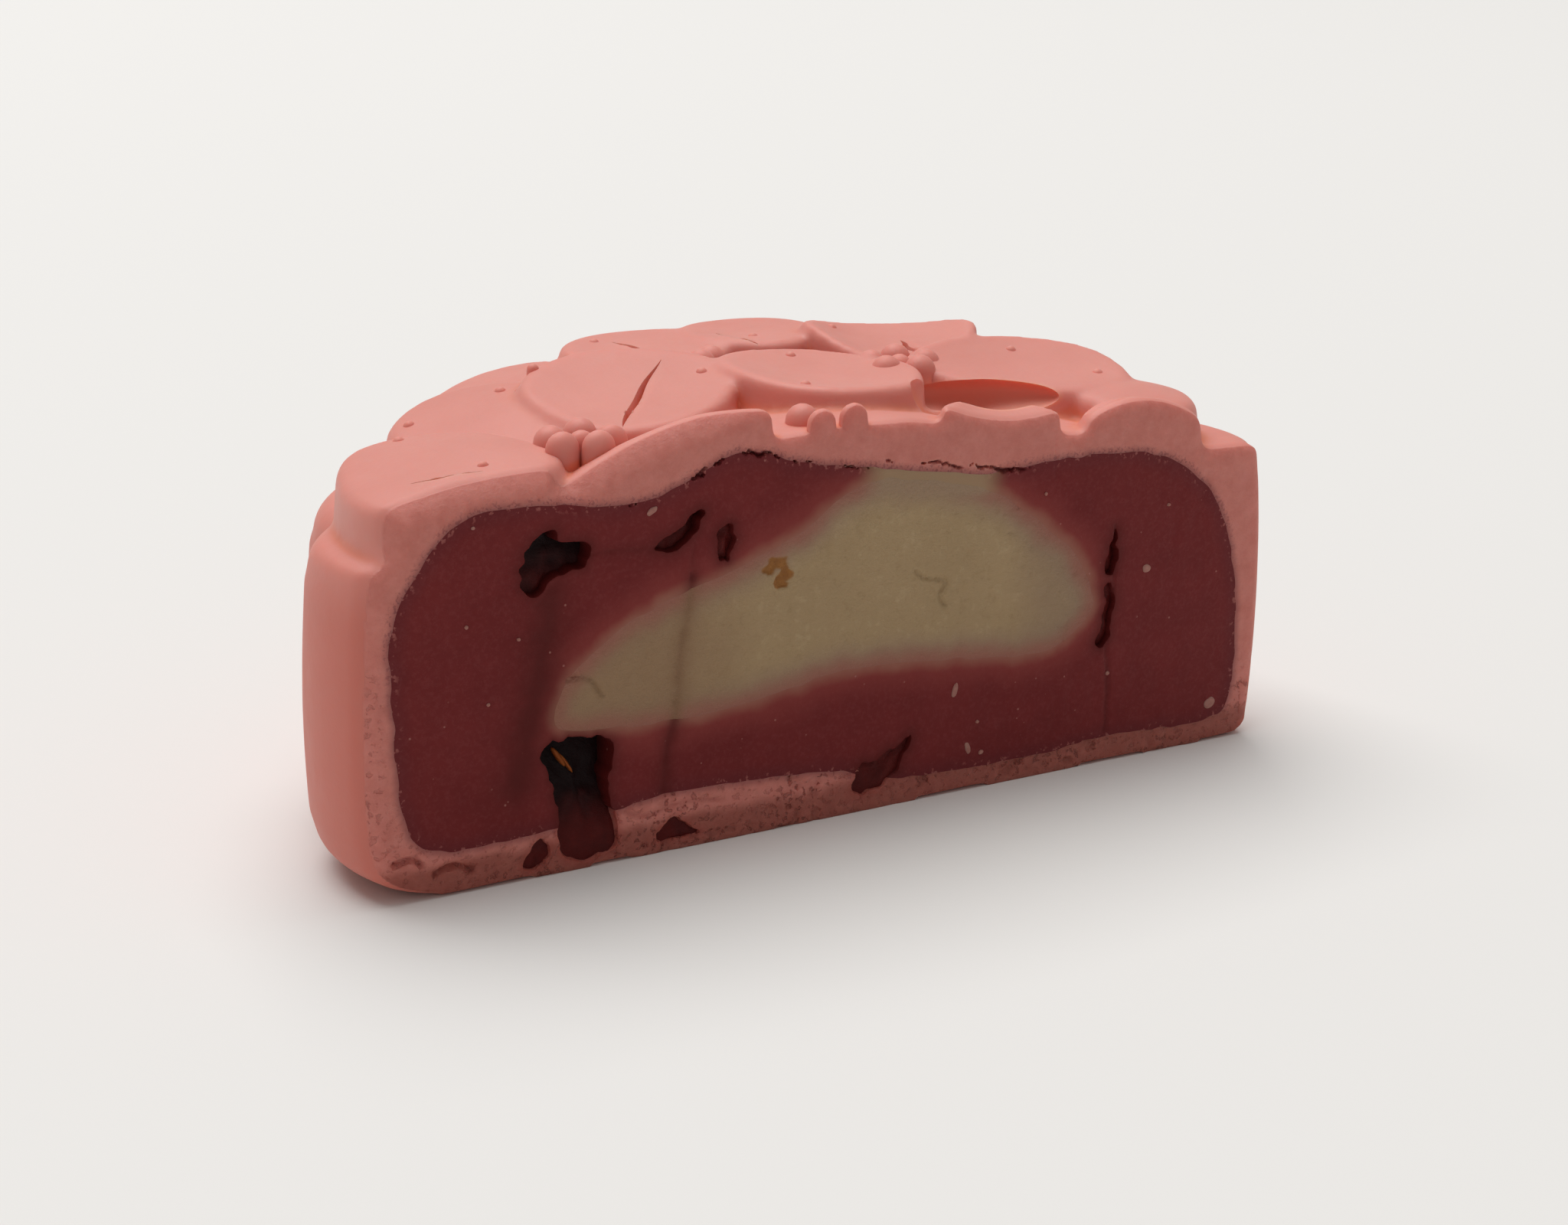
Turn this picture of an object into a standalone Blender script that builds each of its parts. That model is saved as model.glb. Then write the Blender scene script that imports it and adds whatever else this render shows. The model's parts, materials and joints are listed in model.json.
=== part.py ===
"""Half of a press-moulded strawberry cheese mooncake, standing on its flat base.

The knife cut is the flat face towards -Y, X runs along the cut and Z is up.
Every size below is in millimetres and is turned into metres when a mesh is made.
"""
import math
from collections import namedtuple

import bmesh
import bpy
from mathutils import Matrix, Vector

MM = 0.001
GAP = 0.3                # clearance between one piece and the piece round it

# Outer form of the pressed cake
VALLEY_RADIUS = 33.0     # from the axis to the valleys between the lobes
LOBE_COUNT = 16
LOBE_RISE = 1.7          # how far a lobe stands out from the valleys
LOBE_TURN = 1.0          # degrees from the right end of the cut to the first valley
WALL_HEIGHT = 21.8       # base to the ledge round the face
WALL_BULGE = 0.8         # the sides swell a little at half height
WALL_LEVELS = (7.0, 11.5, 16.0)
FOOT_HEIGHT_LEFT = 3.0   # round foot of the wall at the left end of the cut
FOOT_HEIGHT_RIGHT = 1.4
PRESSED_IN = 0.9         # how far the knife pressed in the wall's left end
PRESSED_TURN = 14.0
RIM_RADIUS = 0.9         # round upper edge of the wall at the cut
RIM_RADIUS_BACK = 2.2    # and away from it
RIM_BLEND = 24.0         # degrees from the cut to where the edge is at its roundest
STEPS_PER_LOBE = 6

# Height of the plain face under the flowers, by distance from the axis
FACE_PROFILE = ((0.0, 26.9), (5.0, 26.7), (8.0, 26.1), (12.0, 25.2), (16.0, 24.5),
                (20.0, 24.0), (24.0, 23.0), (27.0, 22.2), (29.6, 21.9))

# A petal: centre, heading in degrees, length, width, height at its two ends, rise to its
# left, how far the margin stands above the middle, and how far the two sides do
Petal = namedtuple("Petal", "x y heading length width near tip side dish fold")
PETALS = (
    Petal(-25.2, 5.2, 178, 13.6, 18.4, 26.9, 25.4, 0.0, -0.7, 0.0),
    Petal(-17.1, 16.2, 106, 16.0, 13.6, 25.9, 25.9, -1.2, -0.6, 0.0),
    Petal(-8.7, 14.3, 58, 16.4, 14.6, 26.3, 28.1, 0.0, 0.5, 0.0),
    Petal(-13.0, -1.2, -16, 15.8, 13.8, 25.1, 29.6, -0.1, -1.5, 0.0),
    Petal(4.9, 11.9, 192, 14.0, 15.0, 27.0, 28.0, 0.0, 0.7, 0.0),
    Petal(15.3, 20.2, 70, 12.4, 12.6, 26.9, 27.3, 0.1, 0.2, 1.6),
    Petal(20.5, 11.5, -10, 16.8, 10.8, 27.1, 25.8, 0.9, 0.4, 0.0),
    Petal(11.9, -0.6, 0, 9.6, 8.4, 27.1, 25.7, 0.0, 0.9, 0.0),
    Petal(23.4, -0.6, -20, 9.8, 10.6, 25.8, 24.8, 0.0, -1.6, 0.0),
    Petal(26.2, 6.0, -6, 9.4, 9.2, 25.5, 24.8, 0.0, -0.7, 0.0),
    Petal(-13.3, 25.1, 128, 9.6, 12.8, 26.5, 24.9, -0.4, -0.2, 0.0),
    Petal(-1.6, 25.6, 100, 11.4, 12.8, 27.1, 27.0, 0.0, 0.3, 0.0),
    Petal(6.8, 26.0, 78, 10.4, 10.6, 27.4, 27.1, 0.0, 0.3, 0.0),
    Petal(24.6, 17.6, 34, 9.6, 11.0, 25.4, 24.4, 0.0, -0.4, 0.0),
)
PETAL_FOOT = 20.6        # petals are rooted in the face down to this height
PETAL_EDGE = 0.75        # round upper edge of a petal
PETAL_DRAFT = 0.35       # the foot of a petal's wall stands out by this much
PETAL_EGG = 0.16         # a petal is wider towards its tip by this share
PETAL_POINTS = 26

# Creases pressed into the petals: from x, y to x, y
CREASES = ((-12.4, 7.6, -4.4, 18.3), (-28.7, 2.7, -24.4, 1.4), (15.6, 16.0, 16.4, 20.8),
           (4.2, 26.6, 5.0, 21.4), (-3.4, 28.0, -2.4, 23.4))
CREASE_WIDTH = 0.6
CREASE_DEPTH = 1.0
CREASE_END_DEPTH = 0.1
CREASE_CLEAR = 2.0       # the crease's wedge reaches this far above the petal

# Bowls scooped out beside a petal and under its edge: middle, half lengths and heading
Scoop = namedtuple("Scoop", "x y z length width height heading")
SCOOPS = (Scoop(13.6, 4.9, 27.6, 5.8, 3.5, 3.8, 2), Scoop(15.0, 8.2, 25.2, 5.8, 2.7, 1.2, -20),
          Scoop(19.6, 2.7, 27.4, 4.4, 2.5, 2.6, -10))
SCOOP_SIDES = 20
SCOOP_RINGS = 12

# Stamens: a ring of round-topped pegs and one more in the middle
PEG_RADIUS = 1.1
PEG_DRAFT = 1.1          # its foot is wider by this share
PEG_RING = 2.0
PEG_MIDDLE = 0.8         # size of a middle peg beside the others
PEG_DROP = (0.12, 0.3)   # how much lower every other peg and the middle one are
PEG_FOOT = 23.0
PEG_SIDES = 10
Flower = namedtuple("Flower", "x y top heading has_middle")
FLOWERS = (Flower(-16.7, 4.6, 27.8, -76, True), Flower(12.0, 13.7, 27.8, -76, True),
           Flower(-0.55, -1.5, 28.3, 54, False))
SINGLE_PEGS = ((-1.6, 18.6, 27.7), (-0.2, 20.4, 27.7), (1.4, 22.0, 27.5), (-2.0, 2.6, 28.0))

# Dots near the petals' margins
DOT_RADIUS = 0.42
DOT_RISE = 0.28          # how far a dot stands above the petal
DOT_ROOT = 1.6
DOT_SIDES = 6
DOTS = ((-24.0, 2.6), (-12.9, 20.6), (-15.4, 20.4), (-14.6, 19.0), (-10.6, 10.4), (-25.6, 13.0),
        (-2.9, 15.0), (6.2, 24.6), (0.9, 7.4), (5.2, 17.2), (12.4, 24.0), (20.4, 24.2),
        (21.6, 14.2), (25.6, 9.0), (-22.4, 19.4), (-4.6, 28.6))

# The cut through the strawberry paste: right and left profiles, base to top
PASTE_RIGHT = ((0.0, 3.2), (5.0, 1.8), (15.6, 1.6), (21.3, 1.9), (29.5, 1.7), (31.9, 2.9),
               (32.2, 8.8), (31.4, 14.0), (29.6, 18.4), (25.6, 21.6), (20.5, 22.6),
               (13.0, 22.5), (10.4, 22.4), (6.0, 23.2), (0.0, 24.2))
PASTE_LEFT = ((0.0, 3.2), (4.4, 3.7), (13.1, 4.0), (20.0, 3.2), (28.6, 3.1), (31.0, 5.7),
              (31.5, 12.5), (31.3, 18.4), (28.8, 22.3), (26.2, 24.3), (22.8, 24.5),
              (17.0, 23.8), (13.2, 24.1), (9.0, 25.8), (6.6, 25.9), (3.0, 24.8), (0.0, 24.2))
PASTE_INSIDE = ((0.0, 3.2), (10.0, 3.0), (24.0, 2.9), (29.0, 3.6), (30.6, 7.0),
                (30.6, 13.0), (28.0, 18.0), (22.0, 20.9), (12.0, 22.6), (0.0, 24.2))
PROFILE_POINTS = 24
INSIDE_FROM = 28.0       # degrees from the cut to where the inside profile is reached
REVOLVE_STEPS = 20

# The cheese: its outline in the cut, and how far it runs back
CHEESE_OUTLINE = ((-20.8, 10.2), (-19.8, 13.0), (-15.6, 16.1), (-9.2, 18.2), (-3.6, 20.2),
                  (-0.6, 22.1), (2.2, 23.0), (5.4, 22.6), (10.8, 21.3), (14.0, 19.2),
                  (17.4, 16.4), (19.4, 13.4), (19.2, 11.0), (15.6, 9.1), (8.0, 9.8),
                  (0.2, 10.3), (-9.1, 9.1), (-18.0, 9.3))
CHEESE_MIDDLE = (0.5, 14.0)
CHEESE_DEPTH = 15.0
CHEESE_POINTS = 40
CHEESE_RINGS = 5
CHEESE_END = 0.15        # its outline has shrunk to this share where it ends

# Pieces of dried strawberry in the cut: outline and depth of each
FRUIT = {
    "fruit_upper_left": (((-23.0, 19.4), (-22.6, 21.4), (-20.9, 22.8), (-20.2, 21.9),
                          (-18.3, 21.6), (-18.6, 20.2), (-20.6, 19.6), (-22.0, 18.6)), 2.4),
    "fruit_upper_middle": (((-14.2, 20.6), (-12.4, 21.7), (-10.6, 22.7), (-10.9, 21.3),
                            (-12.2, 20.3)), 1.8),
    "fruit_upper_small": (((-9.6, 19.6), (-9.4, 21.2), (-8.4, 21.6), (-8.2, 20.2),
                           (-8.8, 19.0)), 1.4),
    "fruit_lower_left": (((-21.6, 8.7), (-17.3, 8.6), (-17.2, 5.4), (-16.7, 2.4),
                          (-17.2, 0.9), (-20.4, 0.9), (-20.9, 5.2)), 3.2),
    "fruit_foot_left": (((-23.2, 0.9), (-22.6, 2.3), (-21.7, 2.6), (-21.5, 1.2),
                         (-22.2, 0.8)), 1.6),
    "fruit_foot_middle": (((-14.0, 0.9), (-13.0, 2.2), (-11.8, 1.8), (-10.4, 0.9),
                           (-12.2, 0.8)), 1.6),
    "fruit_lower_middle": (((0.9, 1.4), (1.2, 3.2), (3.4, 3.9), (5.2, 4.9), (4.6, 3.1),
                            (3.0, 1.5)), 2.2),
    "fruit_right_upper": (((20.6, 14.0), (20.7, 15.6), (21.3, 17.2), (21.6, 15.4),
                           (21.5, 13.9)), 1.6),
    "fruit_right_lower": (((20.1, 9.3), (20.6, 11.0), (20.7, 13.2), (21.5, 12.9),
                           (21.4, 10.4), (20.8, 8.8)), 1.6),
}
FRUIT_END = 0.55
FRUIT_RINGS = 2

KNIFE_BLOCK = (90.0, 50.0, 60.0)    # what the knife takes away, in front of the cut
KNIFE_BLOCK_MIDDLE = (0.0, -25.0, 12.0)
CUTTER_FRONT = 1.0       # cutters start this far in front of the cut
CURVE_STEPS = 12         # steps of a curve between two given points
MITRE_LIMIT = 0.4


def clear_scene():
    for thing in list(bpy.data.objects):
        bpy.data.objects.remove(thing, do_unlink=True)


def finish_material(name, colour, roughness):
    """A plain Principled material for one kind of piece."""
    material = bpy.data.materials.new(name)
    material.use_nodes = True
    shader = material.node_tree.nodes["Principled BSDF"]
    shader.inputs["Base Color"].default_value = (*colour, 1.0)
    shader.inputs["Roughness"].default_value = roughness
    shader.inputs["Metallic"].default_value = 0.0
    return material


def make_object(name, shape, material, collection=None):
    """Turn a bmesh in millimetres into an object in metres."""
    bmesh.ops.remove_doubles(shape, verts=shape.verts, dist=1e-4)
    bmesh.ops.recalc_face_normals(shape, faces=shape.faces)
    bmesh.ops.scale(shape, vec=(MM, MM, MM), verts=shape.verts)
    mesh = bpy.data.meshes.new(name)
    shape.to_mesh(mesh)
    shape.free()
    mesh.materials.append(material)
    piece = bpy.data.objects.new(name, mesh)
    (collection or bpy.context.scene.collection).objects.link(piece)
    return piece


def apply_boolean(piece, operation, helpers):
    """One Boolean on a collection of helpers, which are removed afterwards."""
    group = bpy.data.collections.new("helpers_" + piece.name)
    bpy.context.scene.collection.children.link(group)
    for helper in helpers:
        for home in list(helper.users_collection):
            home.objects.unlink(helper)
        group.objects.link(helper)
        helper.hide_render = True
        helper.display_type = "WIRE"
    modifier = piece.modifiers.new(operation.title(), "BOOLEAN")
    modifier.operation = operation
    modifier.operand_type = "COLLECTION"
    modifier.collection = group
    modifier.solver = "EXACT"
    bpy.context.view_layer.update()
    graph = bpy.context.evaluated_depsgraph_get()
    mesh = bpy.data.meshes.new_from_object(piece.evaluated_get(graph))
    piece.modifiers.clear()
    piece.data = mesh
    for helper in list(group.objects):
        bpy.data.objects.remove(helper, do_unlink=True)
    bpy.data.collections.remove(group)


def spline_points(points, count, closed):
    """Points evenly spaced along a Catmull-Rom curve through the given ones."""
    total = len(points)
    spans = total if closed else total - 1
    dense = []
    for span in range(spans):
        corners = []
        for offset in (-1, 0, 1, 2):
            index = span + offset
            index = index % total if closed else min(max(index, 0), total - 1)
            corners.append(Vector(points[index]))
        before, start, end, after = corners
        for step in range(CURVE_STEPS):
            t = step / CURVE_STEPS
            dense.append(0.5 * (2 * start + (end - before) * t
                                + (2 * before - 5 * start + 4 * end - after) * t ** 2
                                + (3 * start - before - 3 * end + after) * t ** 3))
    dense.append(Vector(points[0] if closed else points[-1]))
    lengths = [0.0]
    for first, second in zip(dense, dense[1:]):
        lengths.append(lengths[-1] + (second - first).length)
    samples = count if closed else count - 1
    result = []
    place = 0
    for number in range(count):
        wanted = lengths[-1] * number / samples
        while place < len(dense) - 2 and lengths[place + 1] < wanted:
            place += 1
        share = (wanted - lengths[place]) / (lengths[place + 1] - lengths[place])
        result.append(dense[place].lerp(dense[place + 1], min(max(share, 0.0), 1.0)))
    return result


def grown(points, distance, closed):
    """Offset an outline outwards, with its corners carried out to a point."""
    total = len(points)
    area = sum(points[i - 1].cross(points[i]) for i in range(total))
    side = distance if area > 0 else -distance
    result = []
    for index, point in enumerate(points):
        ahead = points[(index + 1) % total] - point
        behind = point - points[index - 1]
        if not closed and index in (0, total - 1):
            ahead = behind = behind if index else ahead
        first = Vector((behind.y, -behind.x)).normalized()
        second = Vector((ahead.y, -ahead.x)).normalized()
        result.append(point + side * (first + second) / max(1.0 + first.dot(second),
                                                               MITRE_LIMIT))
    return result


def petal_surface(leaf, u, v):
    """Height of a petal's top: u runs from -1 to 1 along it and v across it."""
    return ((leaf.near + leaf.tip) / 2 + (leaf.tip - leaf.near) / 2 * u + leaf.side * v
            + leaf.dish * (u * u + v * v - 0.5) + leaf.fold * (v * v - 0.3))


def petal_place(leaf, u, v, grow=0.0):
    """Plan position of a point of a petal, moved outwards by grow."""
    turn = math.radians(leaf.heading)
    ahead = Vector((math.cos(turn), math.sin(turn)))
    across = Vector((-ahead.y, ahead.x))
    reach = math.hypot(u, v) or 1.0
    return (Vector((leaf.x, leaf.y)) + ahead * (u * leaf.length / 2 + grow * u / reach)
            + across * (1.0 + PETAL_EGG * u) * (v * leaf.width / 2 + grow * v / reach))


def top_height(x, y):
    """Height of the cake's top at a place: its highest petal, or the plain face."""
    distance = math.hypot(x, y)
    best = FACE_PROFILE[-1][1]
    for (near, low), (far, high) in zip(FACE_PROFILE, FACE_PROFILE[1:]):
        if near <= distance <= far:
            best = low + (high - low) * (distance - near) / (far - near)
    for leaf in PETALS:
        turn = math.radians(leaf.heading)
        away = Vector((x - leaf.x, y - leaf.y))
        ahead = Vector((math.cos(turn), math.sin(turn)))
        u = away.dot(ahead) / (leaf.length / 2)
        v = ahead.cross(away) / (leaf.width / 2) / (1.0 + PETAL_EGG * u)
        if math.hypot(u, v) < 1.0:
            best = max(best, petal_surface(leaf, u, v))
    return best


def lobe_bulge(angle):
    """How far the wall stands out from the valleys at an angle in degrees."""
    share = ((angle - LOBE_TURN) * LOBE_COUNT / 360.0) % 1.0
    return LOBE_RISE * max(1.0 - (2.0 * share - 1.0) ** 2, 0.0) ** 0.6


def wall_rows(angle):
    """Profile of the cake at one angle: distance from the axis and height."""
    lean = (1.0 - math.cos(math.radians(angle))) / 2.0
    foot = FOOT_HEIGHT_RIGHT + (FOOT_HEIGHT_LEFT - FOOT_HEIGHT_RIGHT) * lean
    foot_reach = foot * (1.0 + lean)
    reach = VALLEY_RADIUS + lobe_bulge(angle)
    reach -= PRESSED_IN * max(1.0 - abs(angle - 180.0) / PRESSED_TURN, 0.0)
    from_cut = min(angle % 180.0, 180.0 - angle % 180.0)
    rim = RIM_RADIUS + (RIM_RADIUS_BACK - RIM_RADIUS) * min(from_cut / RIM_BLEND, 1.0)
    rows = []
    for turn in (0, 30, 60, 90):
        turn = math.radians(turn)
        rows.append((reach + WALL_BULGE * 0.5 - foot_reach * (1.0 - math.sin(turn)),
                     foot * (1.0 - math.cos(turn))))
    for height in WALL_LEVELS:
        swell = WALL_BULGE * math.sin(math.pi * (0.15 + 0.85 * height / WALL_HEIGHT))
        rows.append((reach + swell, height))
    for turn in (0, 45, 90):
        turn = math.radians(turn)
        rows.append((reach - rim * (1.0 - math.cos(turn)),
                     WALL_HEIGHT - rim * (1.0 - math.sin(turn))))
    for distance, height in reversed(FACE_PROFILE[1:]):
        rows.append((distance, height))
    return rows


def cake_body(material):
    """The whole pressed cake without its flowers."""
    shape = bmesh.new()
    steps = LOBE_COUNT * STEPS_PER_LOBE
    columns = []
    for step in range(steps):
        angle = LOBE_TURN + 360.0 * step / steps
        turn = math.radians(angle)
        columns.append([shape.verts.new((r * math.cos(turn), r * math.sin(turn), z))
                        for r, z in wall_rows(angle)])
    top = shape.verts.new((0.0, 0.0, FACE_PROFILE[0][1]))
    for step in range(steps):
        here, there = columns[step], columns[(step + 1) % steps]
        for row in range(len(here) - 1):
            shape.faces.new((here[row], there[row], there[row + 1], here[row + 1]))
        shape.faces.new((here[-1], there[-1], top))
    shape.faces.new([column[0] for column in reversed(columns)])
    return make_object("skin", shape, material)


def petal(number, leaf, material):
    """One petal: an egg-shaped plate with a round edge and a dished or domed top."""
    shape = bmesh.new()

    def ring(scale, grow, lower):
        verts = []
        for i in range(PETAL_POINTS):
            turn = 2 * math.pi * i / PETAL_POINTS
            u, v = scale * math.cos(turn), scale * math.sin(turn)
            flat = petal_place(leaf, u, v, grow)
            height = PETAL_FOOT if lower is None else petal_surface(leaf, u, v) - lower
            verts.append(shape.verts.new((flat.x, flat.y, height)))
        return verts

    rings = [ring(1.0, PETAL_DRAFT, None), ring(1.0, 0.0, PETAL_EDGE),
             ring(1.0, -0.3 * PETAL_EDGE, 0.3 * PETAL_EDGE), ring(1.0, -PETAL_EDGE, 0.0),
             ring(0.6, 0.0, 0.0)]
    middle = shape.verts.new((leaf.x, leaf.y, petal_surface(leaf, 0.0, 0.0)))
    for lower_ring, upper_ring in zip(rings, rings[1:]):
        for i in range(PETAL_POINTS):
            j = (i + 1) % PETAL_POINTS
            shape.faces.new((lower_ring[i], lower_ring[j], upper_ring[j], upper_ring[i]))
    for i in range(PETAL_POINTS):
        shape.faces.new((rings[-1][i], rings[-1][(i + 1) % PETAL_POINTS], middle))
    shape.faces.new(list(reversed(rings[0])))
    return make_object("petal_%d" % number, shape, material)


def crease(number, ends, material):
    """A thin wedge that cuts a crease: deepest halfway, running out at its ends."""
    start, end = Vector(ends[:2]), Vector(ends[2:])
    middle = (start + end) / 2
    ahead = (end - start).normalized()
    across = Vector((-ahead.y, ahead.x)) * CREASE_WIDTH / 2 * (1.0 + CREASE_CLEAR / CREASE_DEPTH)
    shape = bmesh.new()
    for place in (start, end):
        height = top_height(*(place + (middle - place) * 0.1))
        shape.verts.new((place.x, place.y, height - CREASE_END_DEPTH))
        shape.verts.new((place.x, place.y, height + CREASE_CLEAR))
    height = top_height(*middle)
    shape.verts.new((middle.x, middle.y, height - CREASE_DEPTH))
    for side in (middle + across, middle - across):
        shape.verts.new((side.x, side.y, height + CREASE_CLEAR))
    bmesh.ops.convex_hull(shape, input=shape.verts)
    return make_object("crease_%d" % number, shape, material)


def bowl(number, scoop, material):
    """An egg-shaped cutter that scoops out a bowl."""
    shape = bmesh.new()
    bmesh.ops.create_uvsphere(shape, u_segments=SCOOP_SIDES, v_segments=SCOOP_RINGS, radius=1.0)
    bmesh.ops.scale(shape, vec=(scoop.length, scoop.width, scoop.height), verts=shape.verts)
    bmesh.ops.rotate(shape, matrix=Matrix.Rotation(math.radians(scoop.heading), 3, "Z"),
                     verts=shape.verts)
    bmesh.ops.translate(shape, vec=(scoop.x, scoop.y, scoop.z), verts=shape.verts)
    return make_object("bowl_%d" % number, shape, material)


def peg(name, x, y, top, radius, foot, sides, material):
    """A round-topped peg: a stamen, or a dot when it is small."""
    shape = bmesh.new()
    rings = []
    for height, scale in ((foot, PEG_DRAFT), (top - radius, 1.0), (top - 0.42 * radius, 0.82),
                          (top - 0.12 * radius, 0.46)):
        rings.append([shape.verts.new((x + radius * scale * math.cos(2 * math.pi * i / sides),
                                       y + radius * scale * math.sin(2 * math.pi * i / sides),
                                       height)) for i in range(sides)])
    tip = shape.verts.new((x, y, top))
    for lower_ring, upper_ring in zip(rings, rings[1:]):
        for i in range(sides):
            j = (i + 1) % sides
            shape.faces.new((lower_ring[i], lower_ring[j], upper_ring[j], upper_ring[i]))
    for i in range(sides):
        shape.faces.new((rings[-1][i], rings[-1][(i + 1) % sides], tip))
    shape.faces.new(list(reversed(rings[0])))
    return make_object(name, shape, material)


def stamens(material):
    """The ring of pegs of each flower and the single ones between them."""
    pegs = []
    for flower, bloom in enumerate(FLOWERS):
        for number in range(5):
            turn = math.radians(bloom.heading + 72 * number)
            pegs.append(peg("stamen_%d_%d" % (flower, number),
                            bloom.x + PEG_RING * math.cos(turn),
                            bloom.y + PEG_RING * math.sin(turn),
                            bloom.top - PEG_DROP[0] * (number % 2), PEG_RADIUS, PEG_FOOT,
                            PEG_SIDES, material))
        if bloom.has_middle:
            pegs.append(peg("stamen_%d_middle" % flower, bloom.x, bloom.y,
                            bloom.top - PEG_DROP[1], PEG_MIDDLE * PEG_RADIUS, PEG_FOOT,
                            PEG_SIDES, material))
    for number, (x, y, top) in enumerate(SINGLE_PEGS):
        pegs.append(peg("stamen_single_%d" % number, x, y, top, PEG_RADIUS, PEG_FOOT, PEG_SIDES,
                        material))
    return pegs


def dots(material):
    pieces = []
    for number, (x, y) in enumerate(DOTS):
        top = top_height(x, y) + DOT_RISE
        pieces.append(peg("dot_%d" % number, x, y, top, DOT_RADIUS, top - DOT_ROOT, DOT_SIDES,
                          material))
    return pieces


def knife_block(material):
    """Everything in front of the cut."""
    shape = bmesh.new()
    bmesh.ops.create_cube(shape, size=1.0)
    bmesh.ops.scale(shape, vec=KNIFE_BLOCK, verts=shape.verts)
    bmesh.ops.translate(shape, vec=KNIFE_BLOCK_MIDDLE, verts=shape.verts)
    return make_object("knife_block", shape, material)


def half_filling(name, grow, front, material):
    """The paste as a half turned form, with other profiles at the two ends of the cut."""
    profiles = [grown(spline_points(points, PROFILE_POINTS, False), grow, False)
                for points in (PASTE_RIGHT, PASTE_INSIDE, PASTE_LEFT)]
    for profile in profiles:
        profile[0] = Vector((0.0, PASTE_INSIDE[0][1] - grow))
        profile[-1] = Vector((0.0, PASTE_INSIDE[-1][1] + grow))
    shape = bmesh.new()
    columns = []
    for step in range(REVOLVE_STEPS + 1):
        angle = 180.0 * step / REVOLVE_STEPS
        near_end = min(angle, 180.0 - angle)
        share = min(near_end / INSIDE_FROM, 1.0)
        share = share * share * (3.0 - 2.0 * share)
        end_profile = profiles[0] if angle < 90.0 else profiles[2]
        along = math.cos(math.radians(angle))
        back = math.sin(math.radians(angle)) if near_end else 0.0
        column = []
        for outer, inner in zip(end_profile, profiles[1]):
            point = outer.lerp(inner, share)
            column.append(shape.verts.new((point.x * along, point.x * back, point.y)))
        columns.append(column)
    for here, there in zip(columns, columns[1:]):
        for row in range(PROFILE_POINTS - 1):
            if row == 0:
                shape.faces.new((here[0], there[1], here[1]))
            elif row == PROFILE_POINTS - 2:
                shape.faces.new((here[row], there[row], here[row + 1]))
            else:
                shape.faces.new((here[row], there[row], there[row + 1], here[row + 1]))
    loop = columns[0] + list(reversed(columns[-1]))[1:-1]
    close_front(shape, loop, front)
    return make_object(name, shape, material)


def close_front(shape, loop, front):
    """Close a form at the cut, or carry it forward of the cut where it is a cutter."""
    if front:
        ahead = [shape.verts.new((vert.co.x, -front, vert.co.z)) for vert in loop]
        for i in range(len(loop)):
            j = (i + 1) % len(loop)
            shape.faces.new((loop[i], loop[j], ahead[j], ahead[i]))
        loop = ahead
    shape.faces.new(loop)


def lens(name, outline, middle, depth, rings, end_scale, front, material):
    """A form that runs back from its outline in the cut and narrows as it goes."""
    shape = bmesh.new()
    loops = []
    for ring in range(rings + 1):
        turn = math.acos(end_scale) * ring / rings
        scale = math.cos(turn)
        y = depth * math.sin(turn) / math.sqrt(1.0 - end_scale ** 2)
        loops.append([shape.verts.new((middle[0] + (point.x - middle[0]) * scale, y,
                                       middle[1] + (point.y - middle[1]) * scale))
                      for point in outline])
    for here, there in zip(loops, loops[1:]):
        for i in range(len(outline)):
            j = (i + 1) % len(outline)
            shape.faces.new((here[i], here[j], there[j], there[i]))
    shape.faces.new(loops[-1])
    close_front(shape, loops[0], front)
    return make_object(name, shape, material)


def cheese(name, grow, front, material):
    outline = grown(spline_points(CHEESE_OUTLINE, CHEESE_POINTS, True), grow, True)
    return lens(name, outline, CHEESE_MIDDLE, CHEESE_DEPTH + grow, CHEESE_RINGS, CHEESE_END,
                front, material)


def fruit_piece(name, grow, front, material):
    points, depth = FRUIT[name]
    outline = grown([Vector(point) for point in points], grow, True)
    middle = sum(outline, Vector((0.0, 0.0))) / len(outline)
    if grow:
        name = name + "_pocket"
    return lens(name, outline, middle, depth + grow, FRUIT_RINGS, FRUIT_END, front, material)


def place_on_origin(pieces):
    """Move the half so that the middle of its base is the origin."""
    places = [vert.co for vert in pieces[0].data.vertices]
    across = [place.x for place in places]
    back = [place.y for place in places]
    shift = Vector((min(across) + max(across), min(back) + max(back), 0.0)) / 2
    for piece in pieces:
        for vert in piece.data.vertices:
            vert.co -= shift


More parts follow.
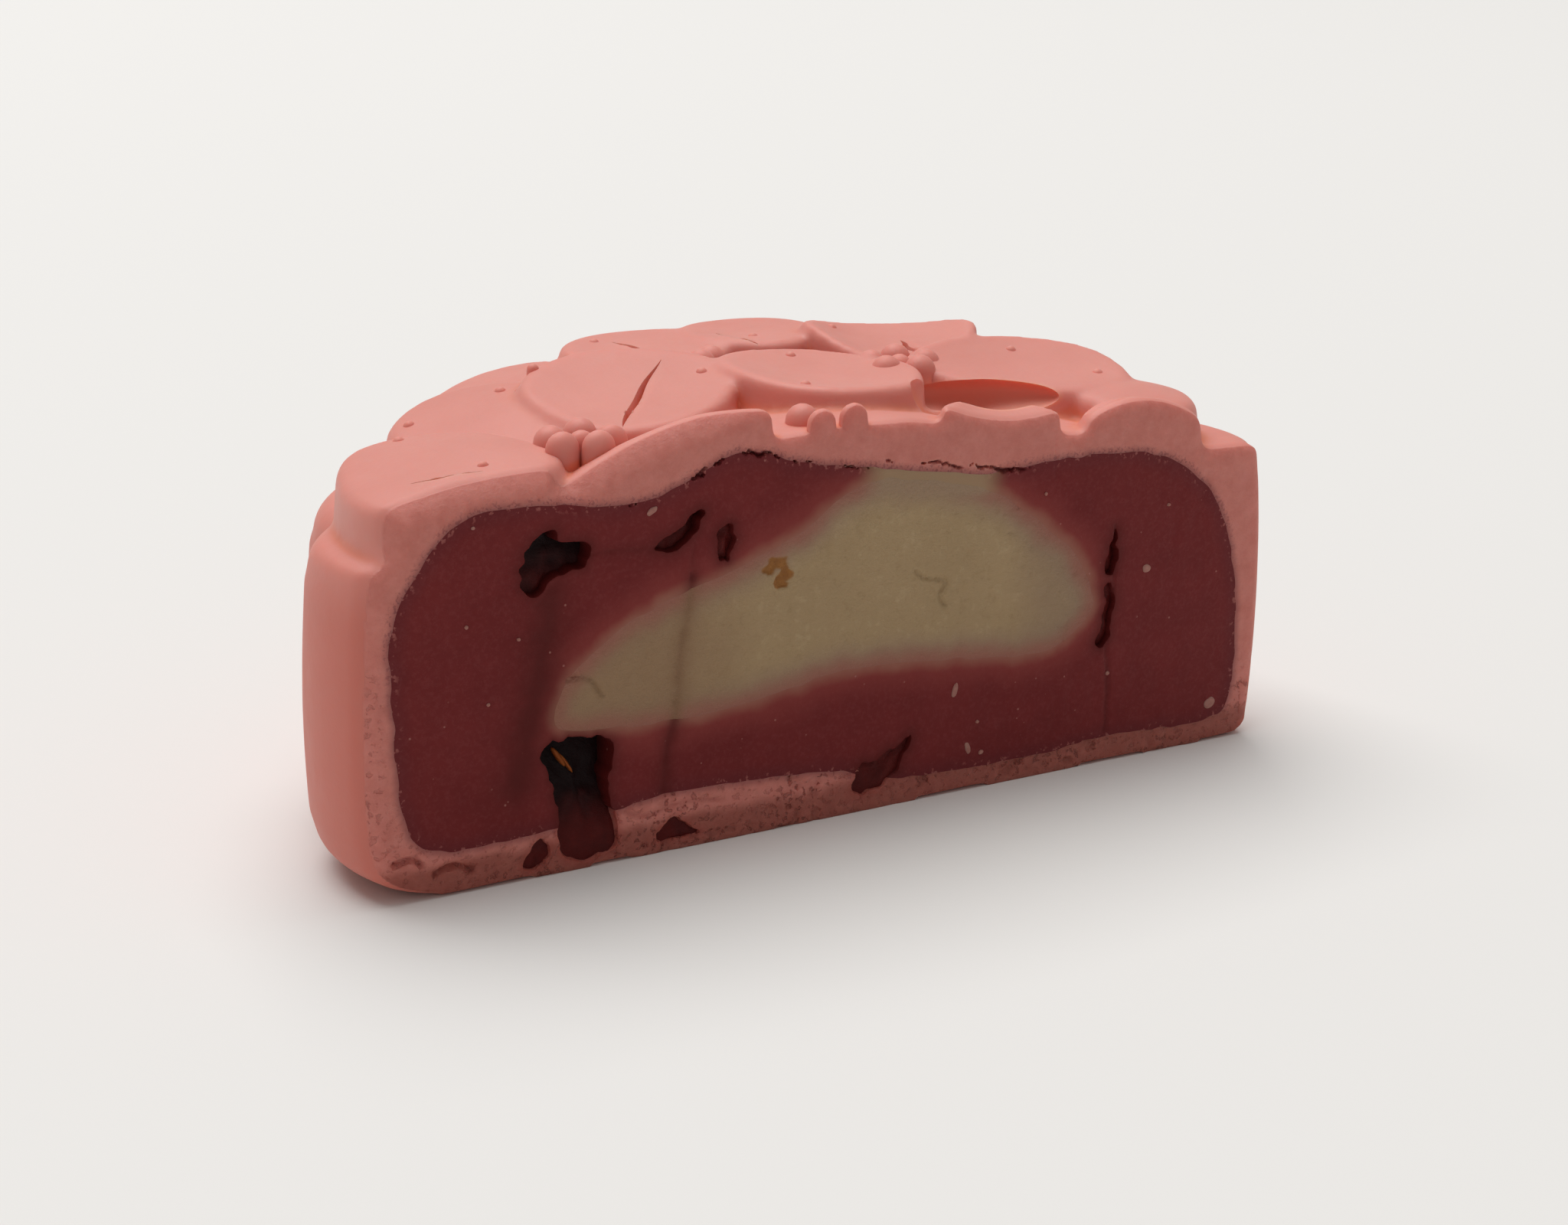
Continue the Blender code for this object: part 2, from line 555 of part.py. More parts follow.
def main():
    clear_scene()
    pink = finish_material("pink_skin", (0.72, 0.30, 0.25), 0.6)
    mauve = finish_material("strawberry_paste", (0.22, 0.045, 0.05), 0.65)
    cream = finish_material("cheese", (0.50, 0.42, 0.28), 0.7)
    dark = finish_material("dried_strawberry", (0.03, 0.006, 0.006), 0.45)

    skin = cake_body(pink)
    petals = [petal(number, leaf, pink) for number, leaf in enumerate(PETALS)]
    apply_boolean(skin, "UNION", petals + stamens(pink) + dots(pink))
    cutters = [crease(number, ends, pink) for number, ends in enumerate(CREASES)]
    cutters += [bowl(number, scoop, pink) for number, scoop in enumerate(SCOOPS)]
    apply_boolean(skin, "DIFFERENCE", cutters + [knife_block(pink)])
    pockets = [fruit_piece(name, GAP, CUTTER_FRONT, dark) for name in FRUIT]
    apply_boolean(skin, "DIFFERENCE", [half_filling("cavity", GAP, CUTTER_FRONT, mauve)] + pockets)

    paste = half_filling("strawberry_paste", 0.0, 0.0, mauve)
    pockets = [fruit_piece(name, GAP, CUTTER_FRONT, dark) for name in FRUIT]
    apply_boolean(paste, "DIFFERENCE",
                  [cheese("cheese_pocket", GAP, CUTTER_FRONT, cream)] + pockets)

    pieces = [skin, paste, cheese("cheese", 0.0, 0.0, cream)]
    pieces += [fruit_piece(name, 0.0, 0.0, dark) for name in FRUIT]
    place_on_origin(pieces)


main()
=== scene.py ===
"""Half of a press-moulded strawberry cheese mooncake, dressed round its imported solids.

Shapes are worked out in millimetres in the cake's own frame: the axis of the whole cake is at
x = 0 and y = 0, the knife cut is the plane y = 0 and the cake stands on z = 0.
"""
import json
import math
from collections import namedtuple

import bmesh
import bpy
import numpy as np
from mathutils import Matrix, Vector
from mathutils.geometry import delaunay_2d_cdt

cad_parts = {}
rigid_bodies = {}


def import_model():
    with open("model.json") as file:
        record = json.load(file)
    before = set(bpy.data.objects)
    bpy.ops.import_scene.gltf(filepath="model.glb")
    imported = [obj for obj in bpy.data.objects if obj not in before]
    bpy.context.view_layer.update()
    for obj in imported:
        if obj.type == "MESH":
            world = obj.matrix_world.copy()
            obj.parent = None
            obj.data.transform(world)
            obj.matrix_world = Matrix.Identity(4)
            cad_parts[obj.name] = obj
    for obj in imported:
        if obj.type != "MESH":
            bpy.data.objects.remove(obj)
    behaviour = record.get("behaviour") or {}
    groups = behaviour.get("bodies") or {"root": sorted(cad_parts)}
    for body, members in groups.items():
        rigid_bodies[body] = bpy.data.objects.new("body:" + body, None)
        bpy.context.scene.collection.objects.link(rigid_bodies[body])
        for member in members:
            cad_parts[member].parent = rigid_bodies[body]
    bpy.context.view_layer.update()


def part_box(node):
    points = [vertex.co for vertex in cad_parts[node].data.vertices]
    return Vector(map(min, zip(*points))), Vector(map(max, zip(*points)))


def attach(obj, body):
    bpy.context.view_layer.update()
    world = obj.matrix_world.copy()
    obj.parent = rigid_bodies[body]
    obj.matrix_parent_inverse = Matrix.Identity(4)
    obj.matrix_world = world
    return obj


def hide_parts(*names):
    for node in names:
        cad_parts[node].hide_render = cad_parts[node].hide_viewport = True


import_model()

MM = 0.001

# Outer form of the pressed cake
VALLEY_RADIUS = 33.0     # from the axis to the valleys between the lobes
LOBE_COUNT = 16
LOBE_RISE = 1.7
LOBE_TURN = 1.0          # degrees from the right end of the cut to the first valley
WALL_HEIGHT = 21.8
WALL_BULGE = 0.8         # how far the wall swells between its foot and its top
FOOT_HEIGHT_LEFT = 3.0
FOOT_HEIGHT_RIGHT = 1.4
PRESSED_IN = 0.9         # flattening of the wall at the left end of the cut
PRESSED_TURN = 14.0      # and how many degrees round it reaches
RIM_RADIUS = 0.9         # rounding of the wall's upper edge at the cut
RIM_RADIUS_BACK = 2.2    # and behind it
RIM_BLEND = 24.0         # degrees over which the one turns into the other
FACE_PROFILE = ((0.0, 26.9), (5.0, 26.7), (8.0, 26.1), (12.0, 25.2), (16.0, 24.5),
                (20.0, 24.0), (24.0, 23.0), (27.0, 22.2), (29.6, 21.9))

# A petal: centre, heading in degrees, length, width, height at its two ends, rise to its
# left, how far the margin stands above the middle, and how far the two sides do
Petal = namedtuple("Petal", "x y heading length width near tip side dish fold")
PETALS = (
    Petal(-25.2, 5.2, 178, 13.6, 18.4, 26.9, 25.4, 0.0, -0.7, 0.0),
    Petal(-17.1, 16.2, 106, 16.0, 13.6, 25.9, 25.9, -1.2, -0.6, 0.0),
    Petal(-8.7, 14.3, 58, 16.4, 14.6, 26.3, 28.1, 0.0, 0.5, 0.0),
    Petal(-13.0, -1.2, -16, 15.8, 13.8, 25.1, 29.6, -0.1, -1.5, 0.0),
    Petal(4.9, 11.9, 192, 14.0, 15.0, 27.0, 28.0, 0.0, 0.7, 0.0),
    Petal(15.3, 20.2, 70, 12.4, 12.6, 26.9, 27.3, 0.1, 0.2, 1.6),
    Petal(20.5, 11.5, -10, 16.8, 10.8, 27.1, 25.8, 0.9, 0.4, 0.0),
    Petal(11.9, -0.6, 0, 9.6, 8.4, 27.1, 25.7, 0.0, 0.9, 0.0),
    Petal(23.4, -0.6, -20, 9.8, 10.6, 25.8, 24.8, 0.0, -1.6, 0.0),
    Petal(26.2, 6.0, -6, 9.4, 9.2, 25.5, 24.8, 0.0, -0.7, 0.0),
    Petal(-13.3, 25.1, 128, 9.6, 12.8, 26.5, 24.9, -0.4, -0.2, 0.0),
    Petal(-1.6, 25.6, 100, 11.4, 12.8, 27.1, 27.0, 0.0, 0.3, 0.0),
    Petal(6.8, 26.0, 78, 10.4, 10.6, 27.4, 27.1, 0.0, 0.3, 0.0),
    Petal(24.6, 17.6, 34, 9.6, 11.0, 25.4, 24.4, 0.0, -0.4, 0.0),
)
PETAL_FOOT = 20.6        # where a petal's side starts, inside the body
PETAL_EDGE = 0.75        # rounding of a petal's upper edge
PETAL_DRAFT = 0.35       # how much further out its foot stands
PETAL_EGG = 0.16         # how much wider it is towards its tip
PETAL_WAVE = 0.014       # unevenness of its outline
MOULD_WAVER = 0.05       # unevenness of the whole moulded surface

# Creases pressed into the petals: from x, y to x, y
CREASES = ((-12.4, 7.6, -4.4, 18.3), (-28.7, 2.7, -24.4, 1.4), (15.6, 16.0, 16.4, 20.8),
           (4.2, 26.6, 5.0, 21.4), (-3.4, 28.0, -2.4, 23.4))
CREASE_HALF_WIDTH = 0.24
CREASE_DEPTH = 1.0
CREASE_BOW = 0.3         # how far a crease bends off its straight line
CREASE_STEPS = 16
CREASE_LIP = 0.2         # how far one side of a crease stands above the other
CREASE_LIP_REACH = 2.4
CUTTER_CLEAR = 2.0       # cutters reach this far above the surface

# Bowls scooped out beside a petal and under its edge: middle, half lengths and heading
Scoop = namedtuple("Scoop", "x y z length width height heading")
SCOOPS = (Scoop(13.6, 4.9, 27.6, 5.8, 3.5, 3.8, 2), Scoop(15.0, 8.2, 25.2, 5.8, 2.7, 1.2, -20),
          Scoop(19.6, 2.7, 27.4, 4.4, 2.5, 2.6, -10))

# Stamens: a ring of round-topped pegs and one more in the middle
PEG_COUNT = 5
PEG_RADIUS = 1.1
PEG_RING = 2.0           # from a flower's centre to its ring of pegs
PEG_FOOT = 23.0
PEG_DRAFT = 1.1          # width of a peg's foot, as a share of its width above
PEG_MIDDLE = 0.8         # width of the middle peg, as a share of the others'
PEG_DROP = (0.12, 0.3)   # how much lower every other peg and the middle one stand
Flower = namedtuple("Flower", "x y top heading has_middle")
FLOWERS = (Flower(-16.7, 4.6, 27.8, -76, True), Flower(12.0, 13.7, 27.8, -76, True),
           Flower(-0.55, -1.5, 28.3, 54, False))
SINGLE_PEGS = ((-1.6, 18.6, 27.7), (-0.2, 20.4, 27.7), (1.4, 22.0, 27.5), (-2.0, 2.6, 28.0))

# Dots near the petals' margins
DOT_RADIUS = 0.42
DOT_RISE = 0.22
DOT_LENGTH = 1.6
DOTS = ((-24.0, 2.6), (-12.9, 20.6), (-15.4, 20.4), (-14.6, 19.0), (-10.6, 10.4), (-25.6, 13.0),
        (-2.9, 15.0), (6.2, 24.6), (0.9, 7.4), (5.2, 17.2), (12.4, 24.0), (20.4, 24.2),
        (21.6, 14.2), (25.6, 9.0), (-22.4, 19.4), (-4.6, 28.6))

# The cut through the strawberry paste: right and left profiles, base to top
PASTE_RIGHT = ((0.0, 3.2), (5.0, 1.8), (15.6, 1.6), (21.3, 1.9), (29.5, 1.7), (31.9, 2.9),
               (32.2, 8.8), (31.4, 14.0), (29.6, 18.4), (25.6, 21.6), (20.5, 22.6),
               (13.0, 22.5), (10.4, 22.4), (6.0, 23.2), (0.0, 24.2))
PASTE_LEFT = ((0.0, 3.2), (4.4, 3.7), (13.1, 4.0), (20.0, 3.2), (28.6, 3.1), (31.0, 5.7),
              (31.5, 12.5), (31.3, 18.4), (28.8, 22.3), (26.2, 24.3), (22.8, 24.5),
              (17.0, 23.8), (13.2, 24.1), (9.0, 25.8), (6.6, 25.9), (3.0, 24.8), (0.0, 24.2))
PASTE_INSIDE = ((0.0, 3.2), (10.0, 3.0), (24.0, 2.9), (29.0, 3.6), (30.6, 7.0),
                (30.6, 13.0), (28.0, 18.0), (22.0, 20.9), (12.0, 22.6), (0.0, 24.2))
PROFILE_POINTS = 420
INSIDE_FROM = 28.0       # degrees behind the cut where the paste has its inside profile
REVOLVE_STEPS = 16
PIECE_GAP = 0.15         # how far a piece's hidden side lies inside its neighbour's

CHEESE_OUTLINE = ((-20.8, 10.2), (-19.8, 13.0), (-15.6, 16.1), (-9.2, 18.2), (-3.6, 20.2),
                  (-0.6, 22.1), (2.2, 23.0), (5.4, 22.6), (10.8, 21.3), (14.0, 19.2),
                  (17.4, 16.4), (19.4, 13.4), (19.2, 11.0), (15.6, 9.1), (8.0, 9.8),
                  (0.2, 10.3), (-9.1, 9.1), (-18.0, 9.3))
CHEESE_MIDDLE = (0.5, 14.0)
CHEESE_DEPTH = 15.0
CHEESE_END = 0.15        # size of its back, as a share of its outline in the cut
CHEESE_POINTS = 520
CHEESE_RINGS = 10

# A piece of dried strawberry: its outline in the cut, its depth, how far behind the cut its
# flesh shows at its foot and at its top, and how deep the hollow round it is there
Fruit = namedtuple("Fruit", "outline depth front hollow")
FRUIT = {
    "fruit_upper_left": Fruit(((-23.0, 19.4), (-22.6, 21.4), (-20.9, 22.8), (-20.2, 21.9),
                               (-18.3, 21.6), (-18.6, 20.2), (-20.6, 19.6), (-22.0, 18.6)),
                              2.4, (0.7, 1.6), (1.2, 2.3)),
    "fruit_upper_middle": Fruit(((-14.2, 20.6), (-12.4, 21.7), (-10.6, 22.7), (-10.9, 21.3),
                                 (-12.2, 20.3)), 1.8, (0.5, 1.0), (0.9, 1.7)),
    "fruit_upper_small": Fruit(((-9.6, 19.6), (-9.4, 21.2), (-8.4, 21.6), (-8.2, 20.2),
                                (-8.8, 19.0)), 1.4, (0.35, 0.4), (0.7, 0.8)),
    "fruit_lower_left": Fruit(((-21.6, 8.7), (-17.3, 8.6), (-17.2, 5.4), (-16.7, 2.4),
                               (-17.2, 0.9), (-20.4, 0.9), (-20.9, 5.2)),
                              3.2, (0.1, 2.3), (0.4, 3.0)),
    "fruit_foot_left": Fruit(((-23.2, 0.9), (-22.6, 2.3), (-21.7, 2.6), (-21.5, 1.2),
                              (-22.2, 0.8)), 1.6, (0.1, 0.1), (0.4, 0.4)),
    "fruit_foot_middle": Fruit(((-14.0, 0.9), (-13.0, 2.2), (-11.8, 1.8), (-10.4, 0.9),
                                (-12.2, 0.8)), 1.6, (0.1, 0.15), (0.4, 0.5)),
    "fruit_lower_middle": Fruit(((0.9, 1.4), (1.2, 3.2), (3.4, 3.9), (5.2, 4.9), (4.6, 3.1),
                                 (3.0, 1.5)), 2.2, (0.1, 0.3), (0.4, 0.8)),
    "fruit_right_upper": Fruit(((20.6, 14.0), (20.7, 15.6), (21.3, 17.2), (21.6, 15.4),
                                (21.5, 13.9)), 1.6, (0.6, 0.6), (1.2, 1.2)),
    "fruit_right_lower": Fruit(((20.1, 9.3), (20.6, 11.0), (20.7, 13.2), (21.5, 12.9),
                                (21.4, 10.4), (20.8, 8.8)), 1.6, (0.5, 0.35), (1.0, 0.8)),
}
FRUIT_END = 0.55         # size of a piece's back, as a share of its outline in the cut
FRUIT_POINTS = 72
HOLLOW_EDGE = 0.2        # how wide the slope into a hollow is
# Pale slivers in the lower left piece: ends, width and depth in its hollow
SLIVERS = (((-20.5, 8.1), (-19.6, 6.6), 0.36, 1.5), ((-20.0, 7.6), (-19.1, 6.1), 0.26, 1.45))

# Lines the knife drew down the cut: how deep, how wide, how red, and the line itself
Line = namedtuple("Line", "depth width stain points")
KNIFE_LINES = (
    Line(0.15, 0.42, 0.8, ((-11.2, 18.4), (-11.6, 16.0), (-12.1, 13.3), (-12.4, 9.6),
                            (-13.0, 7.2), (-13.3, 4.2))),
    Line(0.14, 0.22, 0.6, ((21.3, 17.4), (21.4, 13.9), (21.1, 10.9), (21.0, 8.6),
                           (21.3, 6.2), (21.3, 2.4))),
    Line(0.06, 0.90, 1.0, ((-20.9, 18.8), (-21.1, 16.8), (-21.6, 14.9), (-21.9, 12.9),
                           (-22.6, 10.4), (-23.4, 6.6))),
    Line(0.10, 0.30, 0.6, ((-18.6, 20.9), (-17.0, 20.9), (-15.7, 20.8), (-14.2, 20.7))),
    Line(0.10, 0.30, 0.5, ((-10.8, 21.4), (-11.2, 19.8), (-11.2, 18.4))),
    Line(0.08, 0.24, 0.05, ((15.8, 25.0), (16.0, 24.2), (16.1, 23.1), (16.3, 21.5))),
    Line(0.25, 0.24, 0.3, ((-19.9, 12.9), (-18.9, 13.0), (-18.2, 12.5), (-17.6, 11.5))),
    Line(0.30, 0.26, 0.3, ((5.2, 16.4), (5.9, 15.9), (7.6, 15.4), (7.2, 14.4), (7.6, 13.7))),
    Line(0.45, 0.28, 0.8, ((-31.7, 2.8), (-30.6, 2.9), (-30.0, 2.4))),
    Line(0.45, 0.28, 0.8, ((-29.1, 1.7), (-27.8, 2.0), (-26.7, 1.5))),
    Line(0.14, 0.24, 0.7, ((-16.0, 3.3), (-14.6, 2.8), (-11.7, 3.2), (-9.1, 2.9))),
)
# A curled browned fleck in the cheese, and how wide it is
FLECK = ((-5.7, 18.1), (-5.2, 18.4), (-4.7, 18.2), (-4.5, 17.6), (-4.9, 17.1))
FLECK_WIDTH = 0.42
FLECK_BLUR = 0.14
# Pale seeds and crumbs in the paste: x, z, half length, half width, tilt in degrees
SPECKS = ((24.1, 13.9, 0.33, 0.3, 0), (30.3, 2.9, 0.48, 0.4, 20), (21.3, 6.6, 0.19, 0.17, 0),
          (8.6, 7.5, 0.55, 0.22, 75), (9.8, 3.1, 0.48, 0.2, 110), (10.9, 2.6, 0.2, 0.16, 40),
          (10.5, 4.9, 0.14, 0.12, 0), (-26.6, 17.4, 0.13, 0.12, 0), (-23.2, 16.1, 0.13, 0.11, 0),
          (-26.0, 23.6, 0.12, 0.11, 0), (25.7, 18.3, 0.14, 0.12, 0), (15.4, 20.4, 0.13, 0.12, 0),
          (-25.3, 12.2, 0.12, 0.11, 0), (-14.1, 23.1, 0.42, 0.22, 35), (-19.3, 5.2, 0.16, 0.08, 80))
SPECK_THICKNESS = 0.14   # half thicknesses of a speck and of a sliver
SLIVER_THICKNESS = 0.3

FOOT_WAVE = 0.22         # unevenness of the base along the cut
FOOT_WAVE_REACH = 2.4
RIM_SOFT = 0.8           # how far in from its edge the cut is rounded
RIM_FALL = 0.3           # and how far the edge lies behind the cut
NOSE_SOFT = 1.7          # the same along the two petals at the left
NOSE_FALL = 1.1
NOSE_END = -8.0
NOSE_FOOT = 22.5
RIM_DRAWN_IN = 0.2       # how far the outside closes in where it meets the cut
CRUMB_PIT = 0.30         # depth of the pits in the cut through the skin
CURD_PIT = 0.09          # and in the cut through the cheese
CRACK_DEPTH = 0.4        # of the gaps between skin and paste along the top
CRACK_FROM, CRACK_TO = -19.0, 15.0
CRACK_FADE = 3.0
SMEAR_FROM, SMEAR_TO = 0.5, 12.5      # where the cheese is smeared up to the skin
SMEAR_FADE = 2.5
WAVER = 0.10             # unevenness the knife left

SHARP_ANGLE = 48.0       # degrees between faces that meet in a sharp edge
VOXEL = 0.28             # fineness of the moulded surface
SHEET_STEP = 0.19        # fineness of the cut face
BORDER_STEP = 0.11       # and where it needs finer faces:
FINE_BORDER = 0.8        # this near to the border between skin and paste
FINE_ABOVE = 15.0        # where that is above this height
FINE_FRUIT = 0.6         # and this near to a piece of fruit
ROW_STEP = 0.866         # from row to row of the face's points, for a step of 1 in a row
STREWN = 0.22            # how far a point may stand off its place, as a share of the step
SPAN_STEPS = 40          # fineness of a curve between two of its given points
LINE_POINTS = 40
FLECK_POINTS = 24
IN_FRONT = 2.0           # the moulded form is carried this far in front of the cut
ON_CUT = 1e-6            # what lies this near to the plane of the cut is on it
RECESS_ROUNDS = 30       # smoothing that tells crests from recesses
RECESS_DEPTH = 0.5
DEEP_INSIDE = 5.0        # distance from any border that a speck's colour is given

# Where a colour changes over a piece: the ends of the change, in metres
WALL_PAINTED_SHADE = (23.5 * MM, 17.5 * MM)   # painted shade: outside of the skin, darker and redder from its top down to the wall
DUST_SHADE = (11.0 * MM, 17.0 * MM)   # paste rubbed into the upper part of the cut skin
FOOT_TONE = (3.2 * MM, 2.2 * MM)     # darker and browner towards the foot of the cut skin
TAIL_SHADE = (-2.0 * MM, -12.0 * MM)  # cheese towards its thin left end
HEAD_SHADE = (13.0 * MM, 18.0 * MM)   # and towards its right end
BLENDED = (0.33, 0.125, 0.088)        # colour of paste and cheese run together

# The photograph's view, in the cake's frame
FOCAL_PIXELS = 3600.0
IMAGE_WIDTH = 2048.0
SENSOR_WIDTH = 36.0
VIEW_AZIMUTH = 29.03     # degrees from +Y towards +X
VIEW_DOWN = 18.45
VIEW_ROLL = 0.6
VIEW_DISTANCE = 177.7
VIEW_TARGET = (-4.64, 0.0, 15.04)

# Studio, in metres and watts
FLOOR_REACH = 2.0
SOFTBOX_PLACE = (-0.08, 0.64, 1.92)
SOFTBOX_SIZE = 2.0
SOFTBOX_POWER = 41.6
ROOM_LIGHT = 0.30


def lattice_noise(places, scale, seed):
    """Smooth noise from -1 to 1 at each place, in lumps about scale across."""
    cell = np.asarray(places, float) / scale
    base = np.floor(cell).astype(np.int64)
    part = cell - base
    part = part * part * (3.0 - 2.0 * part)
    total = np.zeros(len(cell))
    for corner in np.ndindex(*(2,) * cell.shape[1]):
        mixed = np.full(len(cell), seed * 7919 + 17, np.int64)
        weight = np.ones(len(cell))
        for axis, step in enumerate(corner):
            mixed = ((mixed ^ (base[:, axis] + step)) * 0x27D4EB2D + 0x165667B1) & 0xFFFFFFFF
            mixed ^= mixed >> 15
            weight *= part[:, axis] if step else 1.0 - part[:, axis]
        total += weight * ((mixed * 0x2545F491 >> 7 & 0xFFFF) / 32767.5 - 1.0)
    return total


def smooth_step(values, low, high):
    share = np.clip((values - low) / (high - low), 0.0, 1.0)
    return share * share * (3.0 - 2.0 * share)


def band(values, low, high, fade):
    """1 between low and high, running out to 0 over a width inside each end."""
    return smooth_step(values, low, low + fade) * smooth_step(-values, -high, fade - high)


def turned(item, along, aside):
    """Places that lie along and across a petal or a scoop, in the cake's frame."""
    turn = math.radians(item.heading)
    return (item.x + along * math.cos(turn) - aside * math.sin(turn),
            item.y + along * math.sin(turn) + aside * math.cos(turn))


def turned_back(item, x, y):
    """How far places lie along and across a petal or a scoop from its middle."""
    turn = math.radians(item.heading)
    x, y = x - item.x, y - item.y
    return x * math.cos(turn) + y * math.sin(turn), y * math.cos(turn) - x * math.sin(turn)


def spline(points, count, closed):
    """Evenly spaced points along a Catmull-Rom curve through the given ones."""
    given = np.array(points, float)
    total = len(given)
    spans = total if closed else total - 1
    t = np.linspace(0.0, 1.0, SPAN_STEPS, endpoint=False)[:, None]
    dense = []
    for span in range(spans):
        index = [span + offset for offset in (-1, 0, 1, 2)]
        index = [i % total if closed else min(max(i, 0), total - 1) for i in index]
        before, start, end, after = given[index]
        dense.append(0.5 * (2 * start + (end - before) * t
                            + (2 * before - 5 * start + 4 * end - after) * t ** 2
                            + (3 * start - before - 3 * end + after) * t ** 3))
    dense.append(given[:1] if closed else given[-1:])
    dense = np.concatenate(dense)
    lengths = np.concatenate(([0.0], np.cumsum(np.linalg.norm(np.diff(dense, axis=0), axis=1))))
    wanted = np.linspace(0.0, lengths[-1], count, endpoint=not closed)
    return np.stack([np.interp(wanted, lengths, dense[:, axis]) for axis in (0, 1)], axis=1)


def inside(loop, places):
    """Which places lie inside a closed outline."""
    result = np.zeros(len(places), bool)
    ahead = np.roll(loop, -1, axis=0)
    for (ax, ay), (bx, by) in zip(loop, ahead):
        if ay == by:
            continue
        crosses = (places[:, 1] > min(ay, by)) & (places[:, 1] <= max(ay, by))
        where = np.nonzero(crosses)[0]
        at = ax + (places[where, 1] - ay) * (bx - ax) / (by - ay)
        result[where[places[where, 0] < at]] ^= True
    return result


def distance_to(loop, places, closed=True):
    """Distance from each place to an outline or a line of points."""
    start = loop if closed else loop[:-1]
    run = (np.roll(loop, -1, axis=0) if closed else loop[1:]) - start
    length = np.maximum((run ** 2).sum(axis=1), 1e-12)
    result = np.empty(len(places))
    for low in range(0, len(places), 4000):
        block = places[low:low + 4000, None, :] - start[None]
        share = np.clip((block * run).sum(axis=2) / length, 0.0, 1.0)
        gap = block - share[..., None] * run
        result[low:low + 4000] = np.sqrt((gap ** 2).sum(axis=2).min(axis=1))
    return result


# The moulded form

def lobe_bulge(angle):
    share = ((angle - LOBE_TURN) * LOBE_COUNT / 360.0) % 1.0
    return LOBE_RISE * max(1.0 - (2.0 * share - 1.0) ** 2, 0.0) ** 0.6


def wall_rows(angle):
    """Profile of the cake at one angle: distance from the axis and height."""
    lean = (1.0 - math.cos(math.radians(angle))) / 2.0
    foot = FOOT_HEIGHT_RIGHT + (FOOT_HEIGHT_LEFT - FOOT_HEIGHT_RIGHT) * lean
    foot_reach = foot * (1.0 + lean)
    reach = VALLEY_RADIUS + lobe_bulge(angle)
    reach -= PRESSED_IN * max(1.0 - abs(angle - 180.0) / PRESSED_TURN, 0.0)
    from_cut = min(angle % 180.0, 180.0 - angle % 180.0)
    rim = RIM_RADIUS + (RIM_RADIUS_BACK - RIM_RADIUS) * min(from_cut / RIM_BLEND, 1.0)
    quarter = np.radians(np.arange(0, 91, 15))
    rows = []
    for turn in quarter:
        rows.append((reach + WALL_BULGE * 0.5 - foot_reach * (1.0 - math.sin(turn)),
                     foot * (1.0 - math.cos(turn))))
    for height in np.linspace(foot + 1.0, WALL_HEIGHT - RIM_RADIUS_BACK - 0.6, 12):
        swell = WALL_BULGE * math.sin(math.pi * (0.15 + 0.85 * height / WALL_HEIGHT))
        rows.append((reach + swell, height))
    for turn in quarter:
        rows.append((reach - rim * (1.0 - math.cos(turn)),
                     WALL_HEIGHT - rim * (1.0 - math.sin(turn))))
    distances, heights = np.array(FACE_PROFILE).T
    for distance in np.arange(distances[-1], 0.5, -1.2):
        rows.append((distance, np.interp(distance, distances, heights)))
    return rows


def petal_surface(leaf, u, v):
    """Height of a petal's top: u runs from -1 to 1 along it and v across it."""
    return ((leaf.near + leaf.tip) / 2 + (leaf.tip - leaf.near) / 2 * u + leaf.side * v
            + leaf.dish * (u * u + v * v - 0.5) + leaf.fold * (v * v - 0.3))


def petal_ring(number, leaf, scale, grow, lower):
    """One ring of points of a petal, as long as its outline needs."""
    turn = np.radians(np.arange(0, 360, 4))
    wave = 1.0 + PETAL_WAVE * (np.sin(3 * turn + 1.7 * number) + np.sin(5 * turn + 2.9 * number))
    u, v = scale * np.cos(turn), scale * np.sin(turn)
    along = u * leaf.length / 2 * wave + grow * np.cos(turn)
    aside = (1.0 + PETAL_EGG * u) * (v * leaf.width / 2 * wave + grow * np.sin(turn))
    x, y = turned(leaf, along, aside)
    drawn_in = 1.0 + 4.0 * min(grow, 0.0) / (leaf.length + leaf.width)
    height = (petal_surface(leaf, u * drawn_in, v * drawn_in) - lower if lower is not None
              else 0 * u + PETAL_FOOT)
    return np.stack([x, y, height], axis=1)


def top_height(x, y):
    """Height of the cake's top at a place: its highest petal, or the plain face."""
    distances, heights = np.array(FACE_PROFILE).T
    best = np.interp(math.hypot(x, y), distances, heights)
    for leaf in PETALS:
        along, aside = turned_back(leaf, x, y)
        u = along / (leaf.length / 2)
        v = aside / (leaf.width / 2) / (1.0 + PETAL_EGG * u)
        if math.hypot(u, v) < 1.0:
            best = max(best, petal_surface(leaf, u, v))
    return best


def peg_rings(x, y, top, radius, foot):
    turn = np.radians(np.arange(0, 360, 15))
    rings = [(foot, PEG_DRAFT)]
    for tilt in np.radians((0, 18, 36, 54, 72)):
        rings.append((top - radius * (1.0 - math.sin(tilt)), math.cos(tilt)))
    return [np.stack([x + radius * scale * np.cos(turn), y + radius * scale * np.sin(turn),
                      0 * turn + height], axis=1) for height, scale in rings]


def shell(verts, faces, rings, tip):
    """Add a closed stack of rings, ending in a point, to lists of points and faces."""
    count = len(rings[0])
    base = len(verts)
    for ring in rings:
        verts.extend(ring)
    for row in range(len(rings) - 1):
        for i in range(count):
            j = (i + 1) % count
            low, high = base + row * count, base + (row + 1) * count
            faces.append((low + i, low + j, high + j, high + i))
    last = base + (len(rings) - 1) * count
    verts.append(tip)
    for i in range(count):
        faces.append((last + i, last + (i + 1) % count, last + count))
    faces.append([base + i for i in reversed(range(count))])


